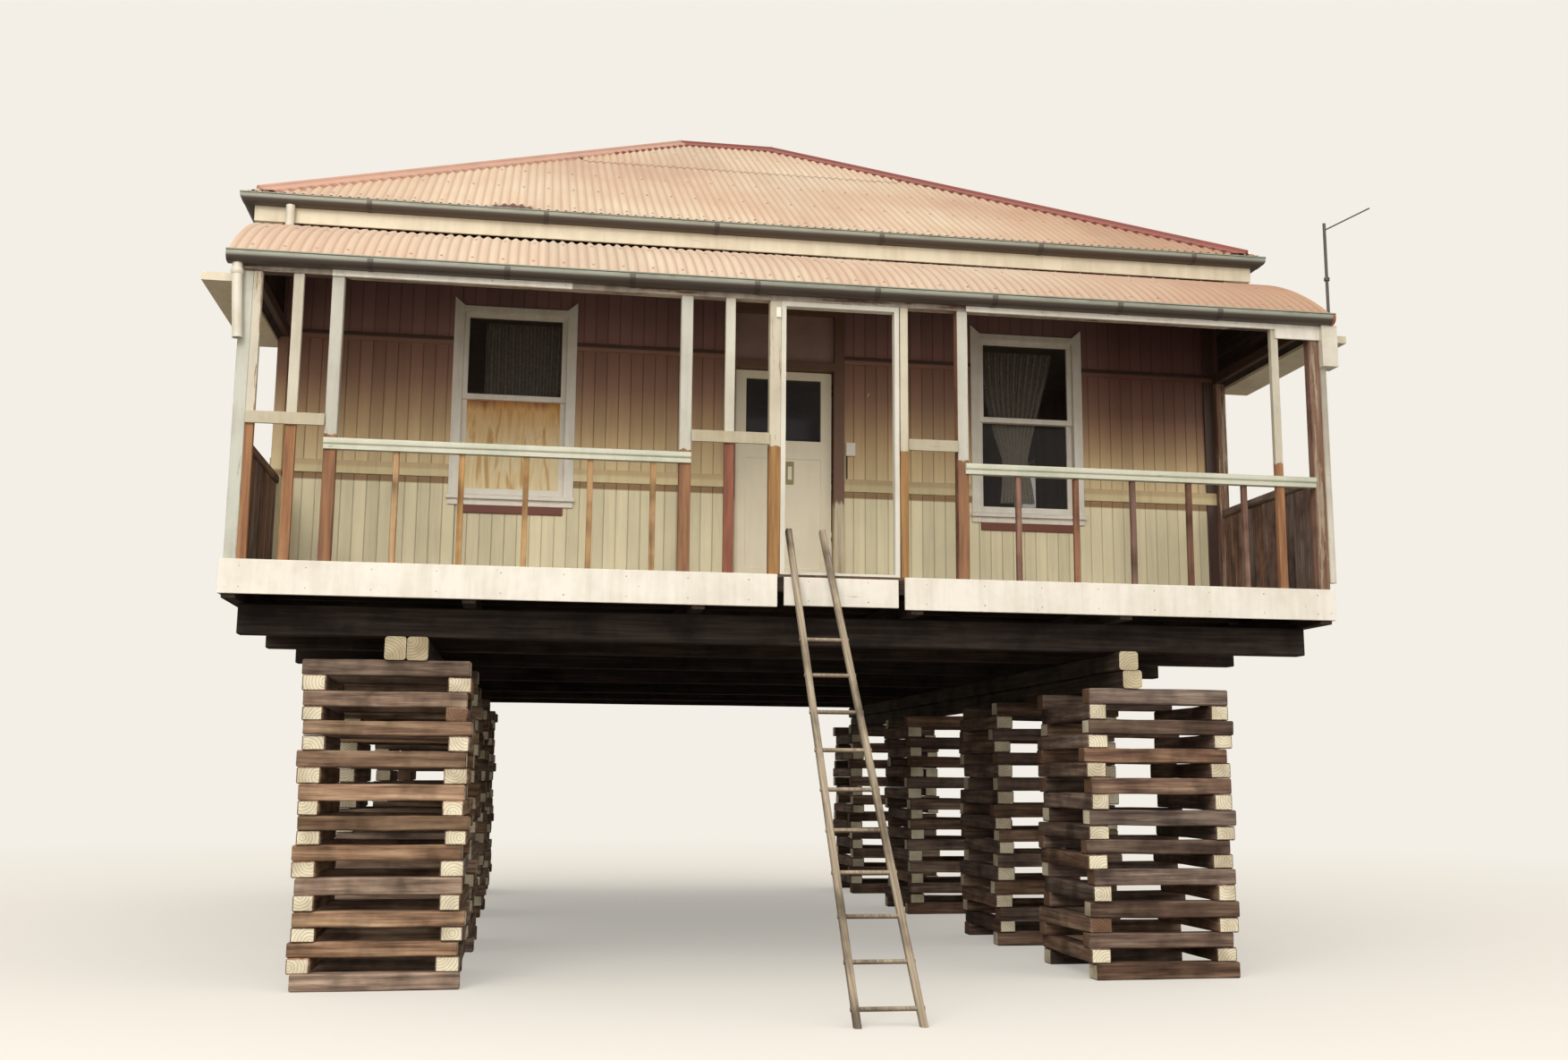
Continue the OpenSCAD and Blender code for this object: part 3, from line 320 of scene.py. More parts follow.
@dataclass(frozen=True)
class WallPaint(Finish):
    """Old oil paint on tongued boards: its colour changes by height, with painted shade where the bands give
    it, and rain streaks it downwards.
    """

    bands: tuple[tuple[float, str], ...] = ()     # metres above the floor, and the colour there, painted shade included
    grime: str = "#6f5238"
    crack: str = "#5a4633"    # dirt packed into the V joints
    reach: float = 3.2        # height of the wall
    shade_from: float = 2.6  # metres right of the middle where painted shade darkens the upper wall
    shade_to: float = 3.1
    shade_low: float = 1.3   # and the heights between which the change comes in
    shade_high: float = 1.8
    painted_shade: str = "#bfaeae"
    roughness: float = 0.6

    def fill(self, tree: bpy.types.NodeTree) -> dict[str, Any]:
        """Add the bands by height, painted shade on the upper wall at the right end, streaks down the boards,
        tone by board and relief.
        """
        place = add(tree, "TexCoord")
        apart = add(tree, "SeparateXYZ", {}, {0: place.outputs["Object"]})
        tone = add(tree, "Attribute", {"attribute_name": "tone"})
        level = add(tree, "MapRange", {"clamp": True},
                    {0: apart.outputs["Z"], 1: FLOOR, 2: FLOOR + self.reach})
        bands = add(tree, "ValToRGB", {"ramp": [(z / self.reach, paint) for z, paint in self.bands]},
                    {0: level})
        run = add(tree, "VectorMath", TIMES, {0: place.outputs["Object"], 1: (16.0, 16.0, 1.1)})
        streaks = add(tree, "TexNoise", {}, {"Vector": run, "Scale": 1.0, "Detail": 5.0, "Roughness": 0.65})
        amount = add(tree, "ValToRGB", {"ramp": [(0.45, "#000000"), (0.80, "#7c7c7c")]}, {0: streaks})
        far = add(tree, "MapRange", {}, {0: apart.outputs["X"], 1: self.shade_from, 2: self.shade_to})
        high = add(tree, "MapRange", {},
                   {0: apart.outputs["Z"], 1: FLOOR + self.shade_low, 2: FLOOR + self.shade_high})
        where = add(tree, "Math", TIMES, {0: far, 1: high})
        # painted shade: the bands are multiplied darker on the right end's upper wall
        old = add(tree, "Mix", DARKEN, {0: where, 6: bands, 7: srgb(self.painted_shade)})
        dirty = add(tree, "Mix", BLEND, {0: amount, 6: old, 7: srgb(self.grime)})
        clouds = add(tree, "TexNoise", {}, {"Vector": place.outputs["Object"], "Scale": 1.3, "Detail": 3.0})
        cloud = add(tree, "MapRange", {}, {0: clouds, 1: 0.3, 2: 0.7, 3: 0.90, 4: 1.08})
        shift = add(tree, "MapRange", {}, {0: tone.outputs["Fac"], 3: 0.90, 4: 1.08})
        value = add(tree, "Math", TIMES, {0: cloud, 1: shift})
        toned = add(tree, "HueSaturation", {}, {"Color": dirty, "Value": value})
        facing = add(tree, "NewGeometry")
        tilt = add(tree, "SeparateXYZ", {}, {0: facing.outputs["Normal"]})
        skew = add(tree, "Math", TIMES, {0: tilt.outputs["X"], 1: tilt.outputs["Y"]})
        slope = add(tree, "Math", {"operation": "ABSOLUTE"}, {0: skew})
        packed = add(tree, "MapRange", {}, {0: slope, 1: 0.15, 2: 0.4, 3: 0.0, 4: 0.3})
        colour = add(tree, "Mix", BLEND, {0: packed, 6: toned, 7: srgb(self.crack)})
        bump = add(tree, "Bump", {}, {"Strength": 0.35, "Distance": 0.002, "Height": streaks})
        return {"Base Color": colour, "Normal": bump, "Roughness": self.roughness}


@dataclass(frozen=True)
class RoofIron(Finish):
    """Galvanised corrugated iron under old red paint, faded to salmon and chalky cream.

    The grain attribute holds the length up the sheet, the width across and the height
    in the corrugation, so dirt gathers in the valleys and streaks run down the slope.
    """

    faded: str = "#d3b69a"
    chalk: str = "#dfd0b6"
    red: str = "#c49c82"
    valley: str = "#b6977d"
    rust: str = "#5d3022"
    under: str = "#4d3c34"    # the dark underside: painted shade, on iron that was never painted
    worn_from: float = 1.2    # metres right of the middle where the iron turns redder and darker
    worn_to: float = 4.4
    worn: str = "#d3b3a4"

    def fill(self, tree: bpy.types.NodeTree) -> dict[str, Any]:
        """Add fading, streaks, sheet tones, valley dirt, rust and painted shade on the underside."""
        grain, tone, stain = (add(tree, "Attribute", {"attribute_name": layer})
                              for layer in ("grain", "tone", "fresh"))
        apart = add(tree, "SeparateXYZ", {}, {0: grain.outputs["Vector"]})
        flat = add(tree, "CombineXYZ", {}, {0: apart.outputs["X"], 1: apart.outputs["Y"]})
        run = add(tree, "VectorMath", TIMES, {0: flat, 1: (0.6, 9.0, 1.0)})
        streaks = add(tree, "TexNoise", {}, {"Vector": run, "Scale": 1.0, "Detail": 5.0, "Roughness": 0.6})
        clouds = add(tree, "TexNoise", {}, {"Vector": flat, "Scale": 0.45, "Detail": 3.0, "Roughness": 0.5})
        mixed = add(tree, "Math", TIMES_PLUS, {0: streaks, 1: 0.35, 2: clouds})
        ground = add(tree, "ValToRGB", {"ramp": [(0.42, self.red), (0.62, self.faded), (0.88, self.chalk)]},
                     {0: mixed})
        shift = add(tree, "MapRange", {}, {0: tone.outputs["Fac"], 3: 0.94, 4: 1.05})
        toned = add(tree, "HueSaturation", {}, {"Color": ground, "Value": shift})
        low = add(tree, "MapRange", {}, {0: apart.outputs["Z"], 1: -0.3, 2: -1.0, 3: 0.0, 4: 0.75})
        dirty = add(tree, "Mix", BLEND, {0: low, 6: toned, 7: srgb(self.valley)})
        dots = add(tree, "TexNoise", {}, {"Vector": flat, "Scale": 7.0, "Detail": 6.0, "Roughness": 0.7})
        spots = add(tree, "MapRange", {}, {0: dots, 1: 0.70, 2: 0.76, 3: 0.0, 4: 0.7})
        patch = add(tree, "Math", TIMES_PLUS, {0: dots, 1: 0.9, 2: stain.outputs["Fac"]})
        big = add(tree, "MapRange", {}, {0: patch, 1: 0.85, 2: 1.05, 3: 0.0, 4: 0.97})
        rusty = add(tree, "Math", {"operation": "MAXIMUM"}, {0: spots, 1: big})
        place = add(tree, "TexCoord")
        spot = add(tree, "SeparateXYZ", {}, {0: place.outputs["Object"]})
        far = add(tree, "MapRange", {}, {0: spot.outputs["X"], 1: self.worn_from, 2: self.worn_to})
        aged = add(tree, "Mix", DARKEN, {0: far, 6: dirty, 7: srgb(self.worn)})
        stained = add(tree, "Mix", BLEND, {0: rusty, 6: aged, 7: srgb(self.rust)})
        facing = add(tree, "NewGeometry")
        tilt = add(tree, "SeparateXYZ", {}, {0: facing.outputs["Normal"]})
        # painted shade: faces turned down take the dark underside colour
        down = add(tree, "MapRange", {}, {0: tilt.outputs["Z"], 1: 0.0, 2: -0.2})
        colour = add(tree, "Mix", BLEND, {0: down, 6: stained, 7: srgb(self.under)})
        bump = add(tree, "Bump", {}, {"Strength": 0.25, "Distance": 0.002, "Height": dots})
        return {"Base Color": colour, "Normal": bump, "Roughness": 0.62}


@dataclass(frozen=True)
class PaintedMetal(Finish):
    """Sheet metal or cast iron under worn paint, with grime, painted shade where it faces down, and rust
    where it is thin.
    """

    paint: str = "#8b958a"
    grime: str = "#5d5c50"
    rust: str = "#7a4630"
    wear: float = 0.1
    sole: float = 0.0         # how far painted shade, in the grime's colour, takes over where the metal faces down
    rust_below: float = -100.0    # height under which the metal has rusted
    metallic: float = 0.0
    roughness: float = 0.5

    def fill(self, tree: bpy.types.NodeTree) -> dict[str, Any]:
        """Add paint, grime clouds, painted shade on the sole, rust spots and slight relief."""
        place = add(tree, "TexCoord")
        facing = add(tree, "NewGeometry")
        tilt = add(tree, "SeparateXYZ", {}, {0: facing.outputs["Normal"]})
        # painted shade: faces turned down take the grime's colour
        down = add(tree, "MapRange", {"interpolation_type": "SMOOTHSTEP"},
                   {0: tilt.outputs["Z"], 1: 0.10, 2: -0.45, 3: 0.0, 4: self.sole})
        clouds = add(tree, "TexNoise", {},
                     {"Vector": place.outputs["Object"], "Scale": 3.2, "Detail": 5.0, "Roughness": 0.65})
        dirt = add(tree, "ValToRGB", {"ramp": [(0.38, "#000000"), (0.70, "#b0b0b0")]}, {0: clouds})
        most = add(tree, "Math", {"operation": "MAXIMUM"}, {0: dirt, 1: down})
        coat = add(tree, "Mix", BLEND, {0: most, 6: srgb(self.paint), 7: srgb(self.grime)})
        apart = add(tree, "SeparateXYZ", {}, {0: place.outputs["Object"]})
        foot = add(tree, "MapRange", {},
                   {0: apart.outputs["Z"], 1: self.rust_below + 0.05, 2: self.rust_below})
        spots = add(tree, "TexNoise", {},
                    {"Vector": place.outputs["Object"], "Scale": 14.0, "Detail": 7.0, "Roughness": 0.7})
        thin = add(tree, "MapRange", {}, {0: spots, 1: 0.72 - self.wear, 2: 0.78 - self.wear})
        lost = add(tree, "Math", {"operation": "MAXIMUM"}, {0: thin, 1: foot})
        colour = add(tree, "Mix", BLEND, {0: lost, 6: coat, 7: srgb(self.rust)})
        rough = add(tree, "MapRange", {}, {0: lost, 3: self.roughness, 4: 0.85})
        bump = add(tree, "Bump", {}, {"Strength": 0.2, "Distance": 0.001, "Height": spots})
        return {"Base Color": colour, "Roughness": rough, "Normal": bump, "Metallic": self.metallic}


@dataclass(frozen=True)
class WindowGlass(Finish):
    """Drawn window glass, thin and faintly wavy: a film of dust and a sharp sheen over a dark room."""

    tint: str = "#2a2224"
    cover: float = 0.27       # share of the room's light that the pane's film and tint hold back
    sheen: float = 0.5

    def fill(self, tree: bpy.types.NodeTree) -> dict[str, Any]:
        """Add a see-through pane whose surface waves a little."""
        place = add(tree, "TexCoord")
        waves = add(tree, "TexNoise", {}, {"Vector": place.outputs["Object"], "Scale": 6.0, "Detail": 1.0})
        bump = add(tree, "Bump", {}, {"Strength": 0.12, "Distance": 0.004, "Height": waves})
        return {"Normal": bump, "Base Color": srgb(self.tint), "Alpha": self.cover, "Roughness": 0.03,
                "IOR": 1.5, "Specular IOR Level": self.sheen}


@dataclass(frozen=True)
class Plywood(Finish):
    """Rotary-cut plywood, unpainted: pale tan with wavy upright streaks, water-stained along its top."""

    base: str = "#f0d7a3"
    dark: str = "#d6b077"
    light: str = "#f7e8c2"
    warm: str = "#ecc79a"     # its upper half turns darker and browner
    stain: str = "#8b4a2f"
    top: float = 0.0          # height of the sheet's top edge
    stain_depth: float = 0.07

    def fill(self, tree: bpy.types.NodeTree) -> dict[str, Any]:
        """Add the streaks of peeled veneer and the stain that has run down from the top edge."""
        place = add(tree, "TexCoord")
        run = add(tree, "VectorMath", TIMES, {0: place.outputs["Object"], 1: (13.0, 13.0, 1.9)})
        bends = add(tree, "TexNoise", {}, {"Vector": run, "Scale": 1.0, "Detail": 2.0, "Distortion": 1.3})
        figure = add(tree, "ValToRGB", {"ramp": [(0.34, self.dark), (0.46, self.base), (0.58, self.light),
                                                 (0.66, self.base)]}, {0: bends})
        fine = add(tree, "VectorMath", TIMES, {0: place.outputs["Object"], 1: (150.0, 150.0, 6.0)})
        fibres = add(tree, "TexNoise", {}, {"Vector": fine, "Scale": 1.0, "Detail": 3.0})
        faint = add(tree, "MapRange", {}, {0: fibres, 3: 0.90, 4: 1.06})
        veneer = add(tree, "HueSaturation", {}, {"Color": figure, "Value": faint})
        apart = add(tree, "SeparateXYZ", {}, {0: place.outputs["Object"]})
        toward_top = add(tree, "MapRange", {}, {0: apart.outputs["Z"], 1: self.top - 0.45, 2: self.top})
        browned = add(tree, "Mix", DARKEN, {0: toward_top, 6: veneer, 7: srgb(self.warm)})
        runs = add(tree, "Math", TIMES_PLUS, {0: bends, 1: 0.22, 2: apart.outputs["Z"]})
        wet = add(tree, "MapRange", {}, {0: runs, 1: self.top + 0.11 - self.stain_depth,
                                         2: self.top + 0.11 + 0.02, 3: 0.0, 4: 0.85})
        colour = add(tree, "Mix", BLEND, {0: wet, 6: browned, 7: srgb(self.stain)})
        bump = add(tree, "Bump", {}, {"Strength": 0.2, "Distance": 0.001, "Height": fibres})
        return {"Base Color": colour, "Normal": bump, "Roughness": 0.75}


@dataclass(frozen=True)
class Lace(Finish):
    """Cotton net, machine woven: open threads, seen through in part and whiter on the flanks of its folds."""

    thread: str = "#faf4e6"
    cell: float = 0.016       # real holes of 2 mm are too fine to show

    def fill(self, tree: bpy.types.NodeTree) -> dict[str, Any]:
        """Add threads, open cells and the see-through part."""
        grain = add(tree, "Attribute", {"attribute_name": "grain"})
        cells = add(tree, "TexVoronoi", {"feature": "DISTANCE_TO_EDGE"},
                    {"Vector": grain.outputs["Vector"], "Scale": 1 / self.cell})
        facing = add(tree, "NewGeometry")
        turned = add(tree, "SeparateXYZ", {}, {0: facing.outputs["Normal"]})
        flat = add(tree, "Math", {"operation": "ABSOLUTE"}, {0: turned.outputs["Y"]})
        woven = add(tree, "MapRange", {}, {0: cells.outputs["Distance"], 1: 0.06, 2: 0.22, 3: 0.40, 4: 0.14})
        dense = add(tree, "MapRange", {}, {0: flat, 1: 0.15, 2: 0.85, 3: 0.6, 4: 0.0})
        cover = add(tree, "Math", {"operation": "ADD", "use_clamp": True}, {0: woven, 1: dense})
        shade = add(tree, "ValToRGB", {"ramp": [(0.3, "#b8ae98"), (0.8, self.thread)]}, {0: cover})
        return {"Alpha": cover, "Base Color": shade, "Roughness": 0.9, "Sheen Weight": 0.3}


# pieces

class Body(Enum):
    """The rigid bodies that pieces ride on."""

    HOUSE = "house"
    FRONT_DOOR = "front_door"


class Piece:
    """One piece in the making: a mesh with grain, tone, end and fresh layers."""

    def __init__(self, name: str) -> None:
        """Start an empty piece.

        Args:
            name: The piece's name.
        """
        self.name = name
        self.bm = bmesh.new()
        self._layers()

    def copy(self, node: str, merge: bool = True) -> None:
        """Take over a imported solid, its double points joined.

        Args:
            node: The node's name.
            merge: Make one face of the triangles that lie in one plane.
        """
        bm = self.bm
        bm.from_mesh(NODES[node].data)
        self._layers()
        bmesh.ops.remove_doubles(bm, verts=bm.verts, dist=2e-5)
        if merge:
            bmesh.ops.dissolve_limit(bm, angle_limit=math.radians(0.4), verts=bm.verts, edges=bm.edges)

    def islands(self) -> list[list[bmesh.types.BMVert]]:
        """Find the separate solids.

        Returns:
            Their vertices, solid by solid.
        """
        seen: set[bmesh.types.BMVert] = set()
        found = []
        for start in self.bm.verts:
            if start in seen:
                continue
            seen.add(start)
            stack, group = [start], []
            while stack:
                v = stack.pop()
                group.append(v)
                for e in v.link_edges:
                    other = e.other_vert(v)
                    if other not in seen:
                        seen.add(other)
                        stack.append(other)
            found.append(group)
        return found

    def _layers(self) -> None:
        """Make sure that the mesh has its layers."""
        verts, faces = self.bm.verts.layers, self.bm.faces.layers
        self.grain = verts.float_vector.get("grain") or verts.float_vector.new("grain")
        self.tone = verts.float.get("tone") or verts.float.new("tone")
        self.fresh = verts.float.get("fresh") or verts.float.new("fresh")
        self.end = faces.float.get("end") or faces.float.new("end")

    def vert(self, co: Vector, grain: Vector, tone: float, fresh: float = 0.0) -> bmesh.types.BMVert:
        """Add a vertex with its layers.

        Args:
            co: Its place.
            grain: Its grain coordinates.
            tone: Its tone from 0 to 1.
            fresh: Its fresh value.

        Returns:
            The new vertex.
        """
        v = self.bm.verts.new(co)
        v[self.grain], v[self.tone], v[self.fresh] = grain, tone, fresh
        return v

    def prism(self, rings: Sequence[Sequence[Vector]], axes: tuple[Vector, Vector, Vector], tone: float,
              shift: float, smooth: bool = False) -> None:
        """Add a closed solid through rings of points.

        Args:
            rings: Two or more rings of equally many points, from one end to the other.
            axes: Directions along, across and through, for the grain.
            tone: The solid's tone.
            shift: Offset of its grain.
            smooth: Shade its sides smooth.
        """
        origin = rings[0][0]
        made = [[self.vert(p, Vector([(p - origin).dot(a) for a in axes]) + Vector((shift, shift, 0)), tone)
                 for p in ring] for ring in rings]
        count = len(made[0])
        for a, b in zip(made, made[1:]):
            for i in range(count):
                face = self.bm.faces.new((a[i], a[(i + 1) % count], b[(i + 1) % count], b[i]))
                face.smooth = smooth
        for ring in (made[0][::-1], made[-1]):
            self.bm.faces.new(ring)[self.end] = 1.0

    def done(self, finish: Finish, slot: str, body: Body = Body.HOUSE, replaces: Sequence[str] = (),
             sharp: Optional[float] = None) -> bpy.types.Object:
        """Turn the mesh into an object that rides on its body.

        Args:
            finish: The finish it gets.
            slot: Not used.
            body: The body that carries it.
            replaces: CAD nodes that it stands for.
            sharp: Shade smooth, apart from edges over this many degrees.

        Returns:
            The new object.
        """
        bmesh.ops.recalc_face_normals(self.bm, faces=self.bm.faces)
        mesh = bpy.data.meshes.new(self.name)
        if sharp is not None:
            for f in self.bm.faces:
                f.smooth = True
        self.bm.to_mesh(mesh)
        self.bm.free()
        if sharp is not None:
            mesh.set_sharp_from_angle(angle=math.radians(sharp))
        obj = bpy.data.objects.new(self.name, mesh)
        bpy.context.scene.collection.objects.link(obj)
        mesh.materials.append(finish.make())
        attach(obj, body.value)
        if replaces:
            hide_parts(*replaces)
        LOG.info("%s: %d faces", self.name, len(mesh.polygons))
        return obj


def dress(node: str, finish: Finish) -> None:
    """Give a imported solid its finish.

    Args:
        node: The node's name.
        finish: The finish it gets.
    """
    obj = NODES[node]
    for held in obj.material_slots:
        held.material = finish.make()
    if not obj.material_slots:
        obj.data.materials.append(finish.make())
    LOG.info("%s: dressed", node)


def recoat(obj: bpy.types.Object, finish: Finish, picked: Callable[[Vector, Vector], bool]) -> None:
    """Give some of an object's faces another finish.

    Args:
        obj: The object.
        finish: The finish that they get.
        picked: Tells from a face's middle and its normal whether it gets the finish.
    """
    obj.data.materials.append(finish.make())
    last = len(obj.data.materials) - 1
    for face in obj.data.polygons:
        if picked(face.center, face.normal):
            face.material_index = last


@dataclass
class Timbers:
    """The timbers of one node, eased at their arrises, with the grain along each of them."""

    node: str
    finish: Finish
    slot: str
    arris: float = 0.004
    keen: float = 0.5         # edges that turn by more radians than this are eased
    bow: float = 0.0          # how far faces stray from true
    wander: float = 2.3       # how often they stray in a metre
    step: float = 0.35        # length between the points that stray
    pale: float = 0.0         # share of timbers with freshly cut ends
    seed: int = 1
    body: Body = Body.HOUSE

    def build(self) -> bpy.types.Object:
        """Copy the node's solids and ease them.

        Returns:
            The new object.
        """
        piece = Piece(self.node + "_timber")
        piece.copy(self.node)
        bm = piece.bm
        rng = random.Random(self.seed)
        if self.bow:
            self._stray(piece)
        if self.arris:
            edges = [e for e in bm.edges if len(e.link_faces) == 2 and e.calc_face_angle(0) > self.keen]
            bmesh.ops.bevel(bm, geom=edges, offset=self.arris, segments=1, profile=0.5,
                            affect="EDGES", clamp_overlap=True)
        for group in piece.islands():
            self._mark(piece, group, rng)
        return piece.done(self.finish, self.slot, self.body, [self.node])

    @staticmethod
    def _axes(group: list[bmesh.types.BMVert]) -> tuple[Vector, Vector, Vector, Vector]:
        """Find a timber's own directions.

        Args:
            group: Its vertices.

        Returns:
            Its middle, its lengthwise direction and two across it.
        """
        lo = Vector([min(v.co[i] for v in group) for i in range(3)])
        hi = Vector([max(v.co[i] for v in group) for i in range(3)])
        size = hi - lo
        longest = max((e for v in group for e in v.link_edges), key=lambda e: e.calc_length())
        along = (longest.verts[1].co - longest.verts[0].co).normalized()
        if longest.calc_length() < 0.6 * max(size):
            along = Vector([1.0 if i == max(range(3), key=lambda k: size[k]) else 0.0 for i in range(3)])
        side = along.cross(UP if abs(along.z) < 0.8 else Y_DIR).normalized()
        return (lo + hi) / 2, along, side, along.cross(side)

    def _stray(self, piece: Piece) -> None:
        """Cut the long edges up and let their points stray a little.

        Args:
            piece: The piece in the making.
        """
        bm, most, lengthwise = piece.bm, 11, {}
        for group in piece.islands():
            along = self._axes(group)[1]
            lengthwise.update((v, along) for v in group)
        for cuts in range(1, most + 1):
            edges = []
            for e in bm.edges:
                along = lengthwise.get(e.verts[0])
                length = e.calc_length()
                if along is None or length < self.step:
                    continue
                if abs((e.verts[1].co - e.verts[0].co).normalized().dot(along)) > 0.98:
                    if min(most, max(1, round(length / self.step) - 1)) == cuts:
                        edges.append(e)
            if edges:
                bmesh.ops.subdivide_edges(bm, edges=edges, cuts=cuts, use_grid_fill=True)
        low = min(v.co.z for v in bm.verts)
        noise.seed_set(self.seed)
        for v in bm.verts:
            v.co += noise.noise_vector(v.co * self.wander) * self.bow
            v.co.z = max(v.co.z, low)

    def _mark(self, piece: Piece, group: list[bmesh.types.BMVert], rng: random.Random) -> None:
        """Write a timber's grain, tone and ends into the layers.

        Args:
            piece: The piece in the making.
            group: The timber's vertices.
            rng: Steady random numbers.
        """
        middle, along, side, through = self._axes(group)
        tone, shift = rng.random(), rng.uniform(0, 40)
        ends = {1: rng.random() < self.pale, -1: rng.random() < self.pale}
        heart = [rng.uniform(-0.08, 0.08) for _ in range(2)]
        for v in group:
            d = v.co - middle
            v[piece.grain] = Vector((d.dot(along) + shift, d.dot(side) + heart[0], d.dot(through) + heart[1]))
            v[piece.tone] = tone
            v[piece.fresh] = 1.0 if ends[1 if d.dot(along) > 0 else -1] else 0.0
        for f in {f for v in group for f in v.link_faces}:
            f.normal_update()
            f[piece.end] = 1.0 if abs(f.normal.dot(along)) > 0.75 else 0.0


# sub-assemblies

@dataclass
class CorrugatedSheets:
    """Rows of corrugated iron laid on a surface: 76 mm from crest to crest and 17 mm deep."""

    pitch: float = 0.0762
    depth: float = 0.017
    thick: float = 0.003
    steps: int = 8            # points in one corrugation
    cover: float = 0.762      # width that one sheet covers
    every: int = 3            # crests from one nail to the next
    clear: float = 0.25       # distance of the last nail from the iron's upper edge

    def nails(self, piece: Piece, place: Place, v: float, width: float, first: int, lift: float,
              top: Edge = lambda u: math.inf) -> None:
        """Set lead-headed nails on every third crest along one batten.

        Args:
            piece: Piece that gets them.
            place: Turns width, length and height on the surface into a point.
            v: The batten's place up the slope.
            width: Width of the slope.
            first: Crest of the first nail.
            lift: Height of the heads above the surface.
            top: The iron's upper edge for a place across.
        """
        u = first * self.pitch
        while u < width:
            if v < top(u) - self.clear:
                nail(piece, lambda a, b, h, u=u: place(u + a, v + b, h), lift)
            u += self.every * self.pitch

    def lay(self, piece: Piece, place: Place, u0: float, u1: float, low: Edge, high: Edge, rows: int,
            lift: float, rng: random.Random,
            stain: Callable[[float, float], float] = lambda u, v: 0.0) -> None:
        """Lay one course of sheets.

        Args:
            piece: Piece that gets them.
            place: Turns width, length and height on the surface into a point.
            u0: Where the course starts across the slope.
            u1: Where it stops.
            low: Its lower edge for a place across.
            high: Its upper edge for a place across.
            rows: Quads up the slope.
            lift: Height above the surface.
            rng: Steady random numbers for the sheets' tones.
            stain: Rust by place.
        """
        count = max(2, math.ceil((u1 - u0) / self.pitch * self.steps))
        tones = [rng.random() for _ in range(int((u1 - u0) / self.cover) + 3)]
        above, below = [], []
        for i in range(count + 1):
            u = u0 + (u1 - u0) * i / count
            wave = math.cos(2 * math.pi * u / self.pitch)
            h = lift + self.depth / 2 * (wave - 1)
            tone = tones[int((u - u0) / self.cover)]
            a, b = low(u), max(high(u), low(u) + 0.002)
            tops, bottoms = [], []
            for r in range(rows + 1):
                v = a + (b - a) * r / rows
                grain = Vector((v, u, wave))
                tops.append(piece.vert(place(u, v, h), grain, tone, stain(u, v)))
                bottoms.append(piece.vert(place(u, v, h - self.thick), grain, tone, stain(u, v)))
            above.append(tops)
            below.append(bottoms)
        new = piece.bm.faces.new
        for i in range(count):
            for r in range(rows):
                new((above[i][r], above[i + 1][r], above[i + 1][r + 1], above[i][r + 1]))
                new((below[i][r + 1], below[i + 1][r + 1], below[i + 1][r], below[i][r]))
            for r in (0, rows):
                new((above[i][r], above[i + 1][r], below[i + 1][r], below[i][r]))
        for i in (0, count):
            for r in range(rows):
                new((above[i][r], above[i][r + 1], below[i][r + 1], below[i][r]))


